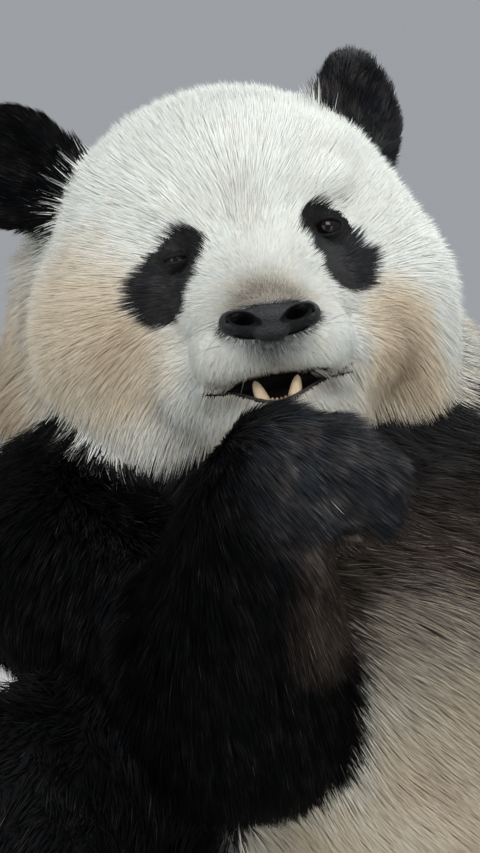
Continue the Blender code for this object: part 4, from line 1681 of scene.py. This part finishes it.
def pads_piece(surface, side, finish):
    bm = bmesh.new()
    spots = []
    for place, along, (half, tall, thick) in pad_places(side):
        spot, normal = surface.meet(place + (0, -0.3, 0), (0, 1, 0))
        normal = unit(normal + np.array((0, -0.6, 0)))
        along = unit(along - normal * (along @ normal))
        across = np.cross(along, normal)
        turn = Matrix(np.stack([across, along, normal], axis=1).tolist()).to_4x4()
        size = Matrix.Diagonal((half, tall, thick, 1))
        place = Matrix.Translation(spot - normal * 0.001) @ turn @ size
        made = bmesh.ops.create_icosphere(bm, subdivisions=4, radius=1, matrix=place)
        for vertex in made["verts"]:
            bump = float(noise(np.array(vertex.co)[None], 0.004, 7)[0]) * 0.0004
            vertex.co += Vector(normal) * bump
        spots.append((spot, half * 1.15, tall * 1.15, across, along))
    mesh = bpy.data.meshes.new(f"sole_pads_{side}")
    bm.to_mesh(mesh)
    bm.free()
    mesh.shade_smooth()
    pads = placed(mesh.name, mesh)
    mesh.materials.append(finish)
    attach(pads, "root")
    return spots


def keep_clear(skin, spots):
    """No hair grows on the pads."""
    for spot, half, tall, across, along in spots:
        local = skin.points - spot
        away = np.sqrt((local @ across / half) ** 2 + (local @ along / tall) ** 2)
        near = np.linalg.norm(local, axis=1) < max(half, tall) * 1.3
        skin.hairy = skin.hairy * np.where(near, ease(0.85, 1.0, away), 1)


# Studio


def look_at(obj, target):
    way = Vector(target) - obj.location
    obj.rotation_euler = way.to_track_quat("-Z", "Y").to_euler()


def add_camera():
    up = Vector((0, math.sin(CAMERA_DOWN), math.cos(CAMERA_DOWN)))
    view = Vector((0, math.cos(CAMERA_DOWN), -math.sin(CAMERA_DOWN)))
    data = bpy.data.cameras.new("camera")
    data.sensor_width = SENSOR
    data.lens = SENSOR * CAMERA_DISTANCE / VIEW_HEIGHT
    camera = placed("camera", data)
    across, rise = VIEW_MIDDLE
    target = Vector(EYES_MIDDLE) + Vector((1, 0, 0)) * across + up * rise
    camera.location = target - view * CAMERA_DISTANCE
    camera.rotation_euler = view.to_track_quat("-Z", "Y").to_euler()
    bpy.context.scene.camera = camera


# Lights: where each stands, how wide it is and its power. All look at one place.
LIT_PLACE = (-0.05, 0, 0.45)
LIGHTS = {
    "key": ((0.15, -1.6, 2.7), 1.6, 54),
    "fill": ((-2.0, -2.0, 0.9), 2.4, 30),
    "low": ((1.8, -2.0, 0.7), 2.0, 24),
    "rim": ((1.2, 1.8, 2.2), 1.2, 26),
}


def add_lights():
    for name, (place, size, power) in LIGHTS.items():
        data = bpy.data.lights.new(name, "AREA")
        data.size = size
        data.energy = power
        light = placed(name, data)
        light.location = place
        look_at(light, LIT_PLACE)
    world = bpy.data.worlds.new("studio")
    world.use_nodes = True
    background = world.node_tree.nodes["Background"]
    background.inputs["Color"].default_value = (0.80, 0.83, 0.88, 1)
    background.inputs["Strength"].default_value = 0.42
    bpy.context.scene.world = world
    bpy.context.scene.view_settings.view_transform = "Standard"


def add_floor():
    reach = 6.0
    corners = [(-reach, -reach, 0), (reach, -reach, 0), (reach, reach, 0), (-reach, reach, 0)]
    floor = mesh_object("floor", corners, [(0, 1, 2, 3)], smooth=False)
    finish = Finish("floor_paint", Roughness=0.8)
    finish.set("Base Color", finish.mix(finish.noise(3.0), (0.62, 0.62, 0.60), (0.66, 0.66, 0.64)))
    floor.data.materials.append(finish.material)


def main():
    skin = Skin()
    owner_names = np.array(skin.names)[skin.owner]
    skin.owner_names = owner_names
    lie = lie_of(skin.outer, skin.normals, skin.part, owner_names)
    lie = skin.graph.smoothed(lie, 60)
    # Where the hair's directions meet, it is kept short.
    skin.calm = 0.60 + 0.40 * ease(0.40, 0.85, np.linalg.norm(lie, axis=1))
    skin.lie = unit(lie)
    markings = markings_at(skin.outer, skin.black)
    local = to_head(skin.points)
    # Painted shade: the skin drawn into the mouth's gap and the seat behind the nose leather are
    # painted black.
    inside = ease(0.0055, 0.0030, mouth_gap(local)) * (local[:, 1] < -0.03)
    inside = np.maximum(inside, ease(0.0, -0.002, nose_pad(local)))
    markings[:, 0] = np.maximum(markings[:, 0], inside)
    set_attribute(skin.mesh, "markings", "FLOAT_COLOR", markings)
    # Painted shade: the skin under the coat is painted a little darker, most under the black hair, and
    # painted sheen makes the black paler in places.
    shade = (0.94 - 0.14 * skin.black) * (1 + (painted_sheen_at(skin.outer) - 1) * skin.black)
    set_attribute(skin.mesh, "shade", "FLOAT", shade)
    skin.mesh.materials.append(skin_finish())
    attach(skin.obj, "root")
    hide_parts(*FLESH)
    surface = Surface(skin)

    lid_finish = leather_finish("lid_skin", (0.003, 0.003, 0.0033), 0.50, 700.0, gloss=0.15)
    eye_gloss = eye_finish()
    for side in SIDES:
        lid_piece(surface, side, lid_finish)
        eye_piece(side, eye_gloss)
    nose_piece()
    mouth_pieces(surface)
    whisker_piece(surface)
    claw_pieces(horn_finish())
    pad_finish = leather_finish("pad_leather", (0.006, 0.0055, 0.0055), 0.60, 380.0, gloss=0.25)
    for side in SIDES:
        keep_clear(skin, pads_piece(surface, side, pad_finish))

    zones = zones_of(skin.outer, skin.part, owner_names)
    pale = coat_finish("pale_coat", gloss=0.15, sheen=0.10, roughness=0.55)
    dark = coat_finish("black_coat", gloss=0.04, sheen=0.0, roughness=0.45)
    for name in COAT_PIECES:
        slot = COAT_PIECES[name][-1]
        coat_piece(skin, name, zones, dark if slot == "coat_black" else pale)
    add_floor()
    add_camera()
    add_lights()


main()
